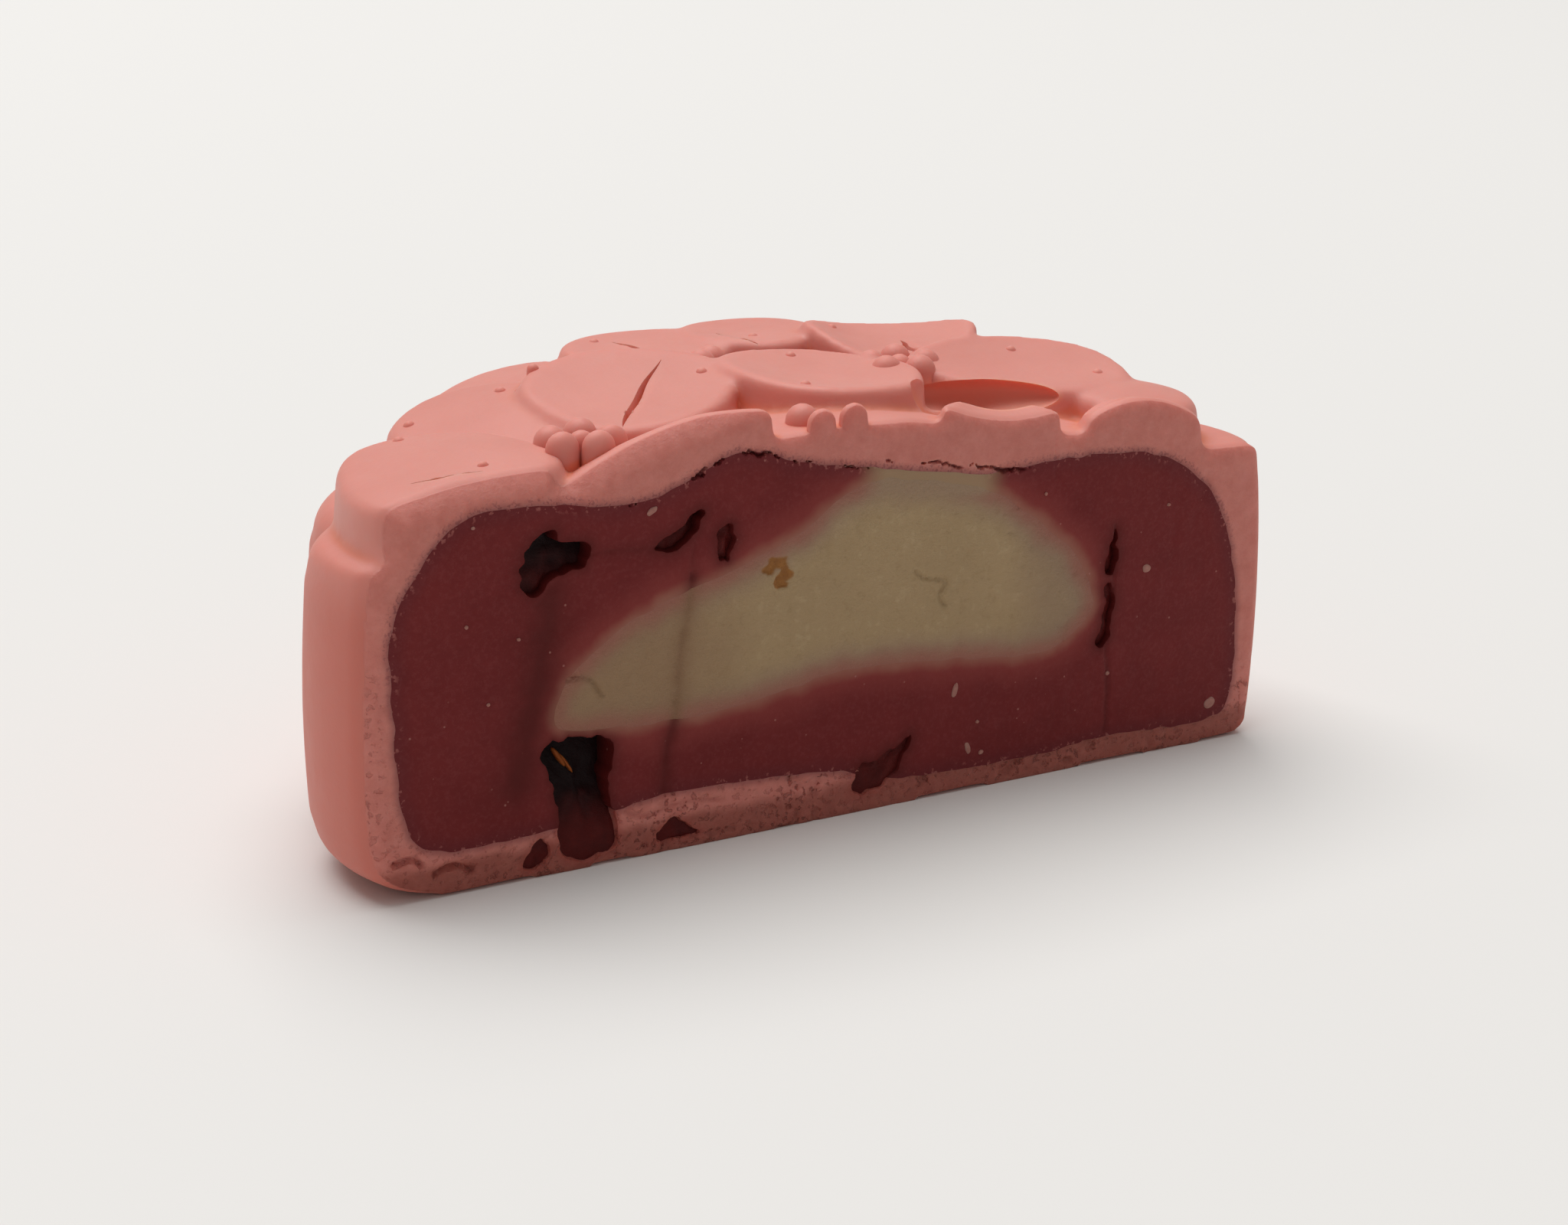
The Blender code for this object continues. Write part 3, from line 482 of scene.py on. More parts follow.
def pegs():
    """Stamens and dots: place, top, radius and foot of each."""
    found = [(*single, PEG_RADIUS, PEG_FOOT) for single in SINGLE_PEGS]
    for bloom in FLOWERS:
        for number in range(PEG_COUNT):
            turn = math.radians(bloom.heading + 360 / PEG_COUNT * number)
            found.append((bloom.x + PEG_RING * math.cos(turn),
                          bloom.y + PEG_RING * math.sin(turn),
                          bloom.top - PEG_DROP[0] * (number % 2), PEG_RADIUS, PEG_FOOT))
        if bloom.has_middle:
            found.append((bloom.x, bloom.y, bloom.top - PEG_DROP[1], PEG_MIDDLE * PEG_RADIUS,
                          PEG_FOOT))
    for x, y in DOTS:
        top = top_height(x, y) + DOT_RISE
        found.append((x, y, top, DOT_RADIUS, top - DOT_LENGTH))
    return found


def peg_shell(x, y, top, radius, foot):
    verts, faces = [], []
    shell(verts, faces, peg_rings(x, y, top, radius, foot), (x, y, top))
    return verts, faces


def moulded_shells():
    """Body and petals as overlapping closed forms."""
    verts, faces = [], []
    angles = np.arange(0.0, 360.0, 1.25)
    columns = np.array([[(r * math.cos(math.radians(a)), r * math.sin(math.radians(a)), z)
                         for r, z in wall_rows(a)] for a in angles])
    shell(verts, faces, list(columns.transpose(1, 0, 2)), (0.0, 0.0, FACE_PROFILE[0][1]))
    for number, leaf in enumerate(PETALS):
        rings = [petal_ring(number, leaf, 1.0, PETAL_DRAFT, None)]
        for tilt in np.radians((0, 22, 45, 68, 90)):
            rings.append(petal_ring(number, leaf, 1.0, -PETAL_EDGE * (1.0 - math.cos(tilt)),
                                    PETAL_EDGE * (1.0 - math.sin(tilt))))
        for scale in (0.78, 0.58, 0.38, 0.18):
            rings.append(petal_ring(number, leaf, scale, 0.0, 0.0))
        shell(verts, faces, rings, (leaf.x, leaf.y, petal_surface(leaf, 0.0, 0.0)))
    verts = np.array(verts)
    verts[:, 1] = np.maximum(verts[:, 1], -IN_FRONT)
    return verts, faces


def crease_wedge(number, ends):
    """A thin curved wedge, deepest halfway and running out at its ends."""
    start, end = np.array(ends[:2]), np.array(ends[2:])
    run = end - start
    across = np.array([-run[1], run[0]]) / np.linalg.norm(run)
    verts, faces = [], []
    for step in range(CREASE_STEPS + 1):
        share = step / CREASE_STEPS
        swell = math.sin(math.pi * share)
        x, y = (start + run * share + across * CREASE_BOW
                * (swell * (-1) ** number + 0.25 * math.sin(11.0 * share + number)))
        surface = top_height(x, y)
        half = 0.03 + CREASE_HALF_WIDTH * swell ** 0.8 * (1.25 - 0.5 * share)
        depth = 0.06 + CREASE_DEPTH * swell ** 0.6
        for side, height in ((0.0, surface - depth), (half, surface + 0.1),
                             (half, surface + CUTTER_CLEAR), (-half, surface + CUTTER_CLEAR),
                             (-half, surface + 0.1)):
            verts.append((x + across[0] * side, y + across[1] * side, height))
    for step in range(CREASE_STEPS):
        here, there = 5 * step, 5 * step + 5
        for i in range(5):
            j = (i + 1) % 5
            faces.append((here + i, there + i, there + j, here + j))
    faces.append(tuple(range(5)))
    faces.append(tuple(5 * CREASE_STEPS + i for i in reversed(range(5))))
    return verts, faces


def bowl(scoop):
    """An egg-shaped cutter."""
    verts, faces = [], []
    turn = np.radians(np.arange(0, 360, 8))
    rings = []
    for tilt in np.radians(np.arange(-86, 86, 7)):
        along = scoop.length * math.cos(tilt) * np.cos(turn)
        aside = scoop.width * math.cos(tilt) * np.sin(turn)
        rings.append(np.stack([*turned(scoop, along, aside),
                               scoop.z + scoop.height * math.sin(tilt) + 0 * turn], axis=1))
    shell(verts, faces, rings, (scoop.x, scoop.y, scoop.z + scoop.height))
    return verts, faces


def in_scene(name, data):
    """A new object in the scene."""
    made = bpy.data.objects.new(name, data)
    bpy.context.scene.collection.objects.link(made)
    return made


def opened(mesh):
    form = bmesh.new()
    form.from_mesh(mesh)
    return form


def kept(form, mesh):
    form.to_mesh(mesh)
    form.free()


def helper(verts, faces):
    """An object in millimetres for modifiers to work with, removed again later."""
    mesh = bpy.data.meshes.new("helper")
    mesh.from_pydata([tuple(map(float, vert)) for vert in verts], [],
                     [tuple(map(int, face)) for face in faces])
    form = opened(mesh)
    bmesh.ops.recalc_face_normals(form, faces=form.faces)
    kept(form, mesh)
    return in_scene("helper", mesh)


def applied(piece, kind, **settings):
    """Give a helper one modifier and keep its result."""
    modifier = piece.modifiers.new(kind.title(), kind)
    for name, value in settings.items():
        setattr(modifier, name, value)
    bpy.context.view_layer.update()
    mesh = bpy.data.meshes.new_from_object(
        piece.evaluated_get(bpy.context.evaluated_depsgraph_get()))
    piece.modifiers.clear()
    piece.data = mesh


def combined(piece, operation, shells):
    """Add closed shells to a helper or take them from it."""
    group = bpy.data.collections.new("helpers")
    bpy.context.scene.collection.children.link(group)
    for verts, faces in shells:
        tool = helper(verts, faces)
        bpy.context.scene.collection.objects.unlink(tool)
        group.objects.link(tool)
    applied(piece, "BOOLEAN", operation=operation, operand_type="COLLECTION", collection=group,
            solver="MANIFOLD")
    for tool in list(group.objects):
        bpy.data.objects.remove(tool, do_unlink=True)
    bpy.data.collections.remove(group)


def places_of(form):
    return np.array([vert.co for vert in form.verts])


def set_places(form, places):
    for vert, place in zip(form.verts, places):
        vert.co = place


def edge_pairs(form):
    form.verts.index_update()
    return np.array([(edge.verts[0].index, edge.verts[1].index) for edge in form.edges])


def relaxed(places, pairs, rounds, strength):
    """Places after each has been drawn towards the middle of its neighbours."""
    count = np.bincount(pairs.ravel(), minlength=len(places))[:, None]
    for _ in range(rounds):
        total = np.zeros_like(places)
        for axis in range(3):
            total[:, axis] = (np.bincount(pairs[:, 0], places[pairs[:, 1], axis], len(places))
                              + np.bincount(pairs[:, 1], places[pairs[:, 0], axis],
                                            len(places)))
        places = places + strength * (total / count - places)
    return places


def lift_lips(places):
    """Raise one side of each crease a little above the other."""
    for ends in CREASES:
        start, end = np.array(ends[:2]), np.array(ends[2:])
        run = end - start
        length = np.linalg.norm(run)
        away = places[:, :2] - start
        along = away @ run / length ** 2
        aside = (away[:, 1] * run[0] - away[:, 0] * run[1]) / length
        swell = np.sin(math.pi * np.clip(along, 0.0, 1.0))
        lip = np.clip(1.0 + aside / CREASE_LIP_REACH, 0.0, 1.0) ** 1.5
        lip *= np.clip(-aside / CREASE_HALF_WIDTH, 0.0, 1.0)
        high = smooth_step(places[:, 2], 24.4, 25.2)
        places[:, 2] += CREASE_LIP * high * swell * lip
    return places


def outer_skin():
    """The moulded outside of the half, open at the cut."""
    piece = helper(*moulded_shells())
    applied(piece, "REMESH", mode="VOXEL", voxel_size=VOXEL)
    form = opened(piece.data)
    places = lift_lips(relaxed(places_of(form), edge_pairs(form), 3, 0.5))
    places += MOULD_WAVER * np.stack([lattice_noise(places, 4.0, seed) for seed in (80, 81, 82)],
                                     axis=1)
    set_places(form, places)
    kept(form, piece.data)
    combined(piece, "UNION", [peg_shell(*peg) for peg in pegs()])
    combined(piece, "DIFFERENCE", [crease_wedge(number, ends)
                                   for number, ends in enumerate(CREASES)])
    combined(piece, "DIFFERENCE", [bowl(scoop) for scoop in SCOOPS])
    form = opened(piece.data)
    bpy.data.objects.remove(piece, do_unlink=True)
    everything = list(form.verts) + list(form.edges) + list(form.faces)
    bmesh.ops.bisect_plane(form, geom=everything, dist=0.03, plane_co=(0, 0, 0),
                           plane_no=(0, 1, 0), clear_inner=True)
    places = places_of(form)
    places[:, 2] = np.where(places[:, 2] < 0.1, 0.0, places[:, 2])
    set_places(form, places)
    base = [face for face in form.faces
            if all(vert.co.z == 0.0 and vert.co.y > FOOT_WAVE_REACH for vert in face.verts)]
    bmesh.ops.dissolve_faces(form, faces=base, use_verts=False)
    for vert in form.verts:
        near = 1.0 - vert.co.y / FOOT_WAVE_REACH
        if near > 0.0 and vert.co.z < 1.0:
            wave = lattice_noise([(vert.co.x, 0.0)], 3.4, 83)[0] - 0.1
            vert.co.z += FOOT_WAVE * max(wave, 0.0) * near * (1.0 - vert.co.z)
    return form


def cut_loop(form):
    """The open edge of the moulded outside, in order, as points of the cut."""
    follow = {}
    for edge in form.edges:
        if len(edge.link_faces) == 1 and all(abs(vert.co.y) < 0.05 for vert in edge.verts):
            for one, other in (edge.verts, reversed(edge.verts)):
                follow.setdefault(one, []).append(other)
    loops = []
    waiting = set(follow)
    while waiting:
        vert = min(waiting, key=lambda v: v.index)
        loop = [vert]
        waiting.discard(vert)
        while True:
            ahead = [other for other in follow[loop[-1]] if other in waiting]
            if not ahead:
                break
            loop.append(ahead[0])
            waiting.discard(ahead[0])
        loops.append(loop)
    longest = max(loops, key=len)
    for vert in longest:
        vert.co.y = 0.0
    return np.array([(vert.co.x, vert.co.z) for vert in longest])


# The cut face

def paste_profiles():
    return [spline(points, PROFILE_POINTS, False)
            for points in (PASTE_RIGHT, PASTE_INSIDE, PASTE_LEFT)]


def paste_loop():
    """The border between skin and paste: up the right side and down the left."""
    right, _, left = paste_profiles()
    left = left * (-1.0, 1.0)
    return np.concatenate([right, left[-2:0:-1]])


def ragged(loop, reach, scale, seed):
    """An outline with small unevenness along its own direction of growth."""
    ahead = np.roll(loop, -1, axis=0) - np.roll(loop, 1, axis=0)
    normal = np.stack([ahead[:, 1], -ahead[:, 0]], axis=1)
    normal /= np.maximum(np.linalg.norm(normal, axis=1), 1e-9)[:, None]
    return loop + normal * (reach * lattice_noise(loop, scale, seed))[:, None]


def hex_grid(low, high, step, seed):
    """Evenly strewn points over a rectangle, each a little off its place."""
    rows = np.arange(low[1], high[1], step * ROW_STEP)
    columns = np.arange(low[0], high[0], step)
    x, z = np.meshgrid(columns, rows)
    x[1::2] += step / 2
    draw = np.random.default_rng(seed)
    places = np.stack([x.ravel(), z.ravel()], axis=1)
    return places + draw.uniform(-STREWN, STREWN, places.shape) * step


def detailed(places, border):
    """Where the cut needs finer faces: along the paste's upper edge and round the fruit."""
    fine = (distance_to(border[::4], places) < FINE_BORDER) & (places[:, 1] > FINE_ABOVE)
    for fruit in FRUIT.values():
        fine |= distance_to(np.array(fruit.outline), places) < FINE_FRUIT
    return fine


def fruit_loop(number, fruit):
    """A fruit's outline in the cut, torn a little."""
    return ragged(spline(fruit.outline, FRUIT_POINTS, True), 0.20, 0.5, 20 + number)


def drawn_in(loop, distance):
    """A closed outline moved inwards."""
    ahead = np.roll(loop, -1, axis=0) - np.roll(loop, 1, axis=0)
    area = (loop[:, 0] * np.roll(loop[:, 1], -1) - loop[:, 1] * np.roll(loop[:, 0], -1)).sum()
    normal = np.stack([-ahead[:, 1], ahead[:, 0]], axis=1) * (1.0 if area > 0 else -1.0)
    return loop + distance * normal / np.linalg.norm(normal, axis=1)[:, None]


def cut_sheet(outline, border, core):
    """Triangles over the whole cut, and for each the ring it belongs to."""
    low, high = outline.min(axis=0), outline.max(axis=0)
    coarse = hex_grid(low, high, SHEET_STEP, 3)
    fine = hex_grid(low, high, BORDER_STEP, 4)
    places = np.concatenate([coarse[~detailed(coarse, border)], fine[detailed(fine, border)]])
    places = places[inside(outline, places)]
    hollows = []
    for number, fruit in enumerate(FRUIT.values()):
        loop = fruit_loop(number, fruit)
        hollows += [loop, drawn_in(loop, HOLLOW_EDGE)]
    for loop, clear in ((outline, 0.12), (core, 0.09), (border, 0.06),
                        *((loop, 0.07) for loop in hollows)):
        places = places[distance_to(loop, places) > clear]
    loops = [outline, border, core] + hollows
    points = [Vector(point) for point in np.concatenate(loops + [places])]
    edges = []
    start = 0
    for loop in loops:
        edges += [(start + i, start + (i + 1) % len(loop)) for i in range(len(loop))]
        start += len(loop)
    made = delaunay_2d_cdt(points, edges, [], 0, 1e-6)
    sheet = np.array(made[0])
    faces = np.array(made[2])
    middle = sheet[faces].mean(axis=1)
    ring = (inside(outline, middle).astype(int) + inside(border, middle)
            + inside(core, middle))
    return sheet, faces, ring


def half_revolve(form, loop, profiles, inset):
    """Carry the border back round the axis as a half turned form."""
    right, middle, left = profiles
    last = PROFILE_POINTS - 1
    verts = {}
    for index in range(PROFILE_POINTS):
        verts[0, index] = form.verts.new((loop[index][0], 0.0, loop[index][1]))
    for index in range(1, last):
        x, z = loop[2 * last - index]
        verts[REVOLVE_STEPS, index] = form.verts.new((x, 0.0, z))
    for step in range(1, REVOLVE_STEPS):
        turn = math.pi * step / REVOLVE_STEPS
        from_cut = min(step, REVOLVE_STEPS - step) * 180.0 / REVOLVE_STEPS
        share = smooth_step(from_cut, 0.0, INSIDE_FROM)
        end = right if turn < math.pi / 2 else left
        column = end + (middle - end) * share
        ahead = np.gradient(column, axis=0)
        ahead /= np.linalg.norm(ahead, axis=1)[:, None]
        column = column + inset * np.stack([-ahead[:, 1], ahead[:, 0]], axis=1)
        for index in range(1, last):
            reach, height = column[index]
            verts[step, index] = form.verts.new((reach * math.cos(turn), reach * math.sin(turn),
                                                 height))
    for step in range(1, REVOLVE_STEPS + 1):
        verts[step, 0], verts[step, last] = verts[0, 0], verts[0, last]
    for step in range(REVOLVE_STEPS):
        for index in range(last):
            corners = []
            for key in ((step, index), (step + 1, index), (step + 1, index + 1),
                        (step, index + 1)):
                if verts[key] not in corners:
                    corners.append(verts[key])
            form.faces.new(corners)


def bridged(form, rings):
    """Faces between each ring of vertices and the next."""
    for here, there in zip(rings, rings[1:]):
        for i in range(len(here)):
            j = (i + 1) % len(here)
            form.faces.new((here[i], here[j], there[j], there[i]))


def core_back(form, loop, inset):
    """The back of the cheese: its outline drawn in ring by ring."""
    rings = []
    for ring in range(CHEESE_RINGS + 1):
        turn = math.acos(CHEESE_END) * ring / CHEESE_RINGS
        y = CHEESE_DEPTH * math.sin(turn) / math.sqrt(1.0 - CHEESE_END ** 2)
        scale = math.cos(turn) * (1.0 - inset * min(ring, 1) / CHEESE_DEPTH)
        flat = CHEESE_MIDDLE + (loop - CHEESE_MIDDLE) * scale
        rings.append([form.verts.new((x, y - inset * min(ring, 1), z)) for x, z in flat])
    bridged(form, rings)
    form.faces.new(rings[-1])


def add_sheet(form, sheet, faces):
    """Add the given triangles of the cut face, at y = 0."""
    verts = {index: form.verts.new((sheet[index][0], 0.0, sheet[index][1]))
             for index in np.unique(faces)}
    for face in faces:
        form.faces.new([verts[index] for index in face])


def welded(form):
    """Join the parts of a piece along the cut into one closed body."""
    rim = [vert for vert in form.verts if abs(vert.co.y) < ON_CUT]
    bmesh.ops.remove_doubles(form, verts=rim, dist=0.004)
    bmesh.ops.recalc_face_normals(form, faces=form.faces)


def level(pair, loop, heights):
    """A value between the two given for an outline's foot and its top."""
    low, high = loop[:, 1].min(), loop[:, 1].max()
    return pair[0] + (pair[1] - pair[0]) * smooth_step(heights, low, high)


def line_mark(line, places):
    """How much of a knife line shows at each place, and how far to its side it lies."""
    points = spline(line.points, LINE_POINTS, False)
    away = distance_to(points, places, closed=False)
    away = away + 0.3 * line.width * lattice_noise(places, 0.7, 31)
    return np.clip(1.0 - away / line.width, 0.0, 1.0), away


def cut_marks(places, outline, border, core):
    """What shows at places in the cut: its relief and where its colours change."""
    x, z = places.T
    in_paste = inside(border, places)
    in_core = inside(core, places)
    from_border = distance_to(border[::2], places) * np.where(in_paste, 1.0, -1.0)
    from_core = distance_to(core[::2], places) * np.where(in_core, -1.0, 1.0)
    from_edge = distance_to(outline, places)
    in_skin = smooth_step(-from_border, -0.05, 0.15)
    relief = WAVER * lattice_noise(places * (1.0, 0.45), 7.0, 40)
    relief += 0.03 * lattice_noise(places * (1.0, 0.15), 0.8, 41)
    relief += 0.025 * lattice_noise(places, 0.5, 42)
    soft, fall = rim(x, z)
    curve = np.clip(1.0 - from_edge / soft, 0.0, 1.0)
    relief = relief * (1.0 - curve) + fall * curve ** 2

    rough = smooth_step(lattice_noise(places, 3.2, 43), -0.1, 0.5)
    left_end = smooth_step(-x, 31.8, 32.6) * smooth_step(-z, -16.0, -13.0)
    rough = (0.3 + 0.7 * rough) * np.maximum(smooth_step(-z, -9.0, -2.0), left_end) * in_skin
    crumbs = smooth_step(lattice_noise(places, 0.7, 44), 0.2, 0.8)
    relief += CRUMB_PIT * crumbs * (1.0 - 0.6 * curve) * rough
    curds = smooth_step(lattice_noise(places, 0.6, 45), 0.4, 0.85)
    relief += CURD_PIT * curds * in_core * smooth_step(lattice_noise(places, 3.0, 53), -0.2, 0.5)

    smeared = band(x, SMEAR_FROM, SMEAR_TO, SMEAR_FADE) * smooth_step(z, 20.4, 21.4)
    middle = 0.16 * lattice_noise(places, 0.8, 46) + 0.14 * lattice_noise(places, 0.3, 47)
    middle -= 0.5 * smeared
    width = 0.18 * lattice_noise(places * (1.0, 0.3), 2.2, 48) + 0.01
    width += 0.10 * lattice_noise(places, 0.5, 49)
    on_top = band(x, CRACK_FROM, CRACK_TO, CRACK_FADE) * smooth_step(z, 20.0, 21.0)
    # the crack also carries painted shade into the gap
    crack = np.clip(1.0 - np.abs(from_border - middle) / np.maximum(width, 0.02), 0.0, 1.0)
    crack *= on_top * (width > 0.02)
    relief += CRACK_DEPTH * crack ** 0.7

    stain = np.zeros(len(places))
    for line in KNIFE_LINES:
        shown, away = line_mark(line, places)
        relief += line.depth * shown ** 0.6
        stain = np.maximum(stain, line.stain * np.exp(-np.maximum(away, 0.0) / (2.2 * line.width)))
    hollow = np.zeros(len(places))
    for number, fruit in enumerate(FRUIT.values()):
        loop = fruit_loop(number, fruit)
        away = distance_to(loop, places)
        within = inside(loop, places)
        slope = np.where(within, np.clip(away / (0.9 * HOLLOW_EDGE), 0.0, 1.0), 0.0)
        depth = level(fruit.hollow, loop, z) * slope
        relief = np.maximum(relief, depth)
        # the hollow's slope also places the paste's painted shade
        hollow = np.maximum(hollow, slope)
        stain = np.maximum(stain, np.where(within, 1.0, 0.8 * np.exp(-away / 0.8)))
    browned = distance_to(spline(FLECK, FLECK_POINTS, False), places, closed=False)
    browned += 0.22 * lattice_noise(places, 0.4, 51)
    browned = smooth_step(-browned, -FLECK_WIDTH - FLECK_BLUR, -FLECK_WIDTH + FLECK_BLUR)
    relief += 0.15 * browned * smooth_step(lattice_noise(places, 0.6, 52), -0.5, 0.5)
    return {"relief": relief, "from_border": from_border, "from_core": from_core,
            "stain": stain, "hollow": hollow, "crack": crack, "browned": browned,
            "rough": rough, "smeared": smeared}


def fruit_form(number, fruit):
    """One piece of dried fruit: wrinkled in front, drawn in towards its back."""
    loop = fruit_loop(number, fruit)
    middle = loop.mean(axis=0)
    form = bmesh.new()
    rings = []
    for scale in (0.12, 0.3, 0.48, 0.64, 0.78, 0.9, 1.0):
        flat = middle + (loop - middle) * scale
        depth = level(fruit.front, loop, flat[:, 1]) + 0.12 * scale ** 2
        depth += 0.22 * lattice_noise(flat, 0.6, 60 + number) * (1.2 - scale)
        rings.append(np.stack([flat[:, 0], np.maximum(depth, 0.05), flat[:, 1]], axis=1))
    for share in (0.25, 0.5, 0.75, 1.0):
        scale = 1.04 - (1.04 - FRUIT_END) * share ** 2
        flat = middle + (loop - middle) * scale
        front = level(fruit.front, loop, flat[:, 1]) + 0.2
        depth = front + (np.maximum(fruit.depth, front + 0.3) - front) * share
        rings.append(np.stack([flat[:, 0], depth, flat[:, 1]], axis=1))
    rings = [[form.verts.new(place) for place in ring] for ring in rings]
    bridged(form, rings)
    form.faces.new(rings[0])
    form.faces.new(rings[-1])
    bmesh.ops.recalc_face_normals(form, faces=form.faces)
    return form


def lump(form, middle, halves, turn, seed):
    """A small uneven ball, flattened against the cut."""
    made = bmesh.ops.create_icosphere(form, subdivisions=3, radius=1.0)["verts"]
    unit = np.array([vert.co for vert in made])
    unit *= (1.0 + 0.18 * lattice_noise(unit + 5.0, 0.7, seed))[:, None]
    placed = unit * halves
    x = placed[:, 0] * math.cos(turn) - placed[:, 2] * math.sin(turn)
    z = placed[:, 0] * math.sin(turn) + placed[:, 2] * math.cos(turn)
    for vert, place in zip(made, np.stack([x, placed[:, 1], z], axis=1) + middle):
        vert.co = place
    return made


def hollowness(form):
    """How far each vertex lies below the surface round it: -1 on crests, 1 in recesses."""
    places = places_of(form)
    form.normal_update()
    normals = np.array([vert.normal for vert in form.verts])
    smooth = relaxed(places, edge_pairs(form), RECESS_ROUNDS, 0.7)
    depth = np.clip(((smooth - places) * normals).sum(axis=1) / RECESS_DEPTH, -1.0, 1.0)
    # keep the painted glow and shade off the tops of the pegs and dots
    for x, y, top, radius, _ in pegs():
        away = np.linalg.norm(places[:, :2] - (x, y), axis=1)
        depth[(away < 1.04 * radius) & (places[:, 2] > top - 0.9 * radius)] = 0.0
    return depth


def rim(x, z):
    """How far in the edge of the cut is rounded at a place, and how far behind it lies."""
    nose = smooth_step(-x, -NOSE_END - 2.5, -NOSE_END + 2.5)
    nose = nose * smooth_step(z, NOSE_FOOT - 1.0, NOSE_FOOT + 1.0)
    base = 1.0 - 0.7 * smooth_step(-z, -2.0, 0.0)
    soft = RIM_SOFT + (NOSE_SOFT - RIM_SOFT) * nose
    fall = (RIM_FALL + (NOSE_FALL - RIM_FALL) * nose) * base
    return soft, fall


def round_rim(form):
    """Draw the outside in a little where it meets the cut."""
    form.normal_update()
    for vert in form.verts:
        near = 1.0 - vert.co.y / RIM_SOFT
        if near > 0.0 and vert.co.z > 0.0:
            flat = Vector((vert.normal.x, 0.0, vert.normal.z))
            if flat.length > 0.1:
                vert.co -= RIM_DRAWN_IN * near ** 2 * flat.normalized()


def scooped_out(places):
    """Which places lie in the hollow scooped out under the right petal, for its painted glow."""
    found = np.zeros(len(places))
    for scoop in SCOOPS[:2]:
        along, aside = turned_back(scoop, places[:, 0], places[:, 1])
        away = np.sqrt((along / scoop.length) ** 2 + (aside / scoop.width) ** 2
                       + ((places[:, 2] - scoop.z) / scoop.height) ** 2)
        found = np.maximum(found, smooth_step(-away, -1.08, -1.02))
    return found * smooth_step(places[:, 0], 10.4, 11.4)


def sink_rim(form):
    """Move the outside back behind the rounded edge of the cut."""
    for vert in form.verts:
        fall = rim(vert.co.x, vert.co.z)[1]
        near = 1.0 - vert.co.y / (4.0 * fall)
        if near > 0.0 and vert.co.y > ON_CUT:
            vert.co.y += fall * near


def mark(form, name, values):
    """Keep one value for each vertex under a name that a shader can read."""
    layer = form.verts.layers.float.get(name) or form.verts.layers.float.new(name)
    for vert, value in zip(form.verts, values):
        vert[layer] = value


def finished(form, name, node, surface):
    """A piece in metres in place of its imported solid."""
    mesh = bpy.data.meshes.new(name)
    for vert in form.verts:
        vert.co = (vert.co + shift) * MM
    kept(form, mesh)
    mesh.shade_smooth()
    mesh.set_sharp_from_angle(angle=math.radians(SHARP_ANGLE))
    mesh.materials.append(surface)
    piece = in_scene(name, mesh)
    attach(piece, "root")
    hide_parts(node)


# Shaders

class Value:
    """A shader's socket, used in plain arithmetic."""

    def __init__(self, surface, socket):
        self.surface = surface
        self.socket = socket

    def maths(self, operation, first, second):
        return self.surface.add("ShaderNodeMath", {"operation": operation},
                                {0: first, 1: second})

    def __add__(self, other):
        return self.maths("ADD", self, other)

    def __sub__(self, other):
        return self.maths("SUBTRACT", self, other)

    def __rsub__(self, other):
        return self.maths("SUBTRACT", other, self)

    def __mul__(self, other):
        return self.maths("MULTIPLY", self, other)

    __radd__ = __add__
    __rmul__ = __mul__


class Surface:
    """A material built up from a Principled shader and named steps."""

    def __init__(self, name, **constants):
        self.material = bpy.data.materials.new(name)
        self.material.use_nodes = True
        self.tree = self.material.node_tree
        self.shader = self.tree.nodes["Principled BSDF"]
        for socket, value in constants.items():
            self.shader.inputs[socket.replace("_", " ")].default_value = value

    def add(self, kind, settings, inputs, output=0):
        node = self.tree.nodes.new(kind)
        for name, value in settings.items():
            setattr(node, name, value)
        for key, value in inputs.items():
            if isinstance(value, Value):
                self.tree.links.new(value.socket, node.inputs[key])
            else:
                node.inputs[key].default_value = value
        return Value(self, node.outputs[output])

    def mark(self, name):
        return self.add("ShaderNodeAttribute", {"attribute_name": name}, {}, "Fac")

    def places(self):
        return self.add("ShaderNodeTexCoord", {}, {}, "Object")

    def along(self, axis):
        return self.add("ShaderNodeSeparateXYZ", {}, {"Vector": self.places()}, axis)

    def noise(self, size, detail=2.0, rough=0.5):
        return self.add("ShaderNodeTexNoise", {},
                        {"Vector": self.places(), "Scale": 1000.0 / size, "Detail": detail,
                         "Roughness": rough})

    def grains(self, size):
        return self.add("ShaderNodeTexVoronoi", {},
                        {"Vector": self.places(), "Scale": 1000.0 / size}, "Distance")

    def between(self, value, low, high):
        """Runs smoothly from 0 to 1 while value goes from low to high."""
        return self.add("ShaderNodeMapRange", {"interpolation_type": "SMOOTHSTEP"},
                        {"Value": value, "From Min": low, "From Max": high})

    def mix(self, share, first, second):
        first, second = (value if isinstance(value, Value) else (*value, 1.0)
                         for value in (first, second))
        return self.add("ShaderNodeMix", {"data_type": "RGBA"},
                        {0: share, 6: first, 7: second}, 2)

    def bump(self, height, distance, strength, below=None):
        inputs = {"Height": height, "Distance": distance * MM, "Strength": strength}
        if below is not None:
            inputs["Normal"] = below
        return self.add("ShaderNodeBump", {}, inputs)

    def set(self, **links):
        for socket, value in links.items():
            self.tree.links.new(value.socket, self.shader.inputs[socket.replace("_", " ")])
        return self.material


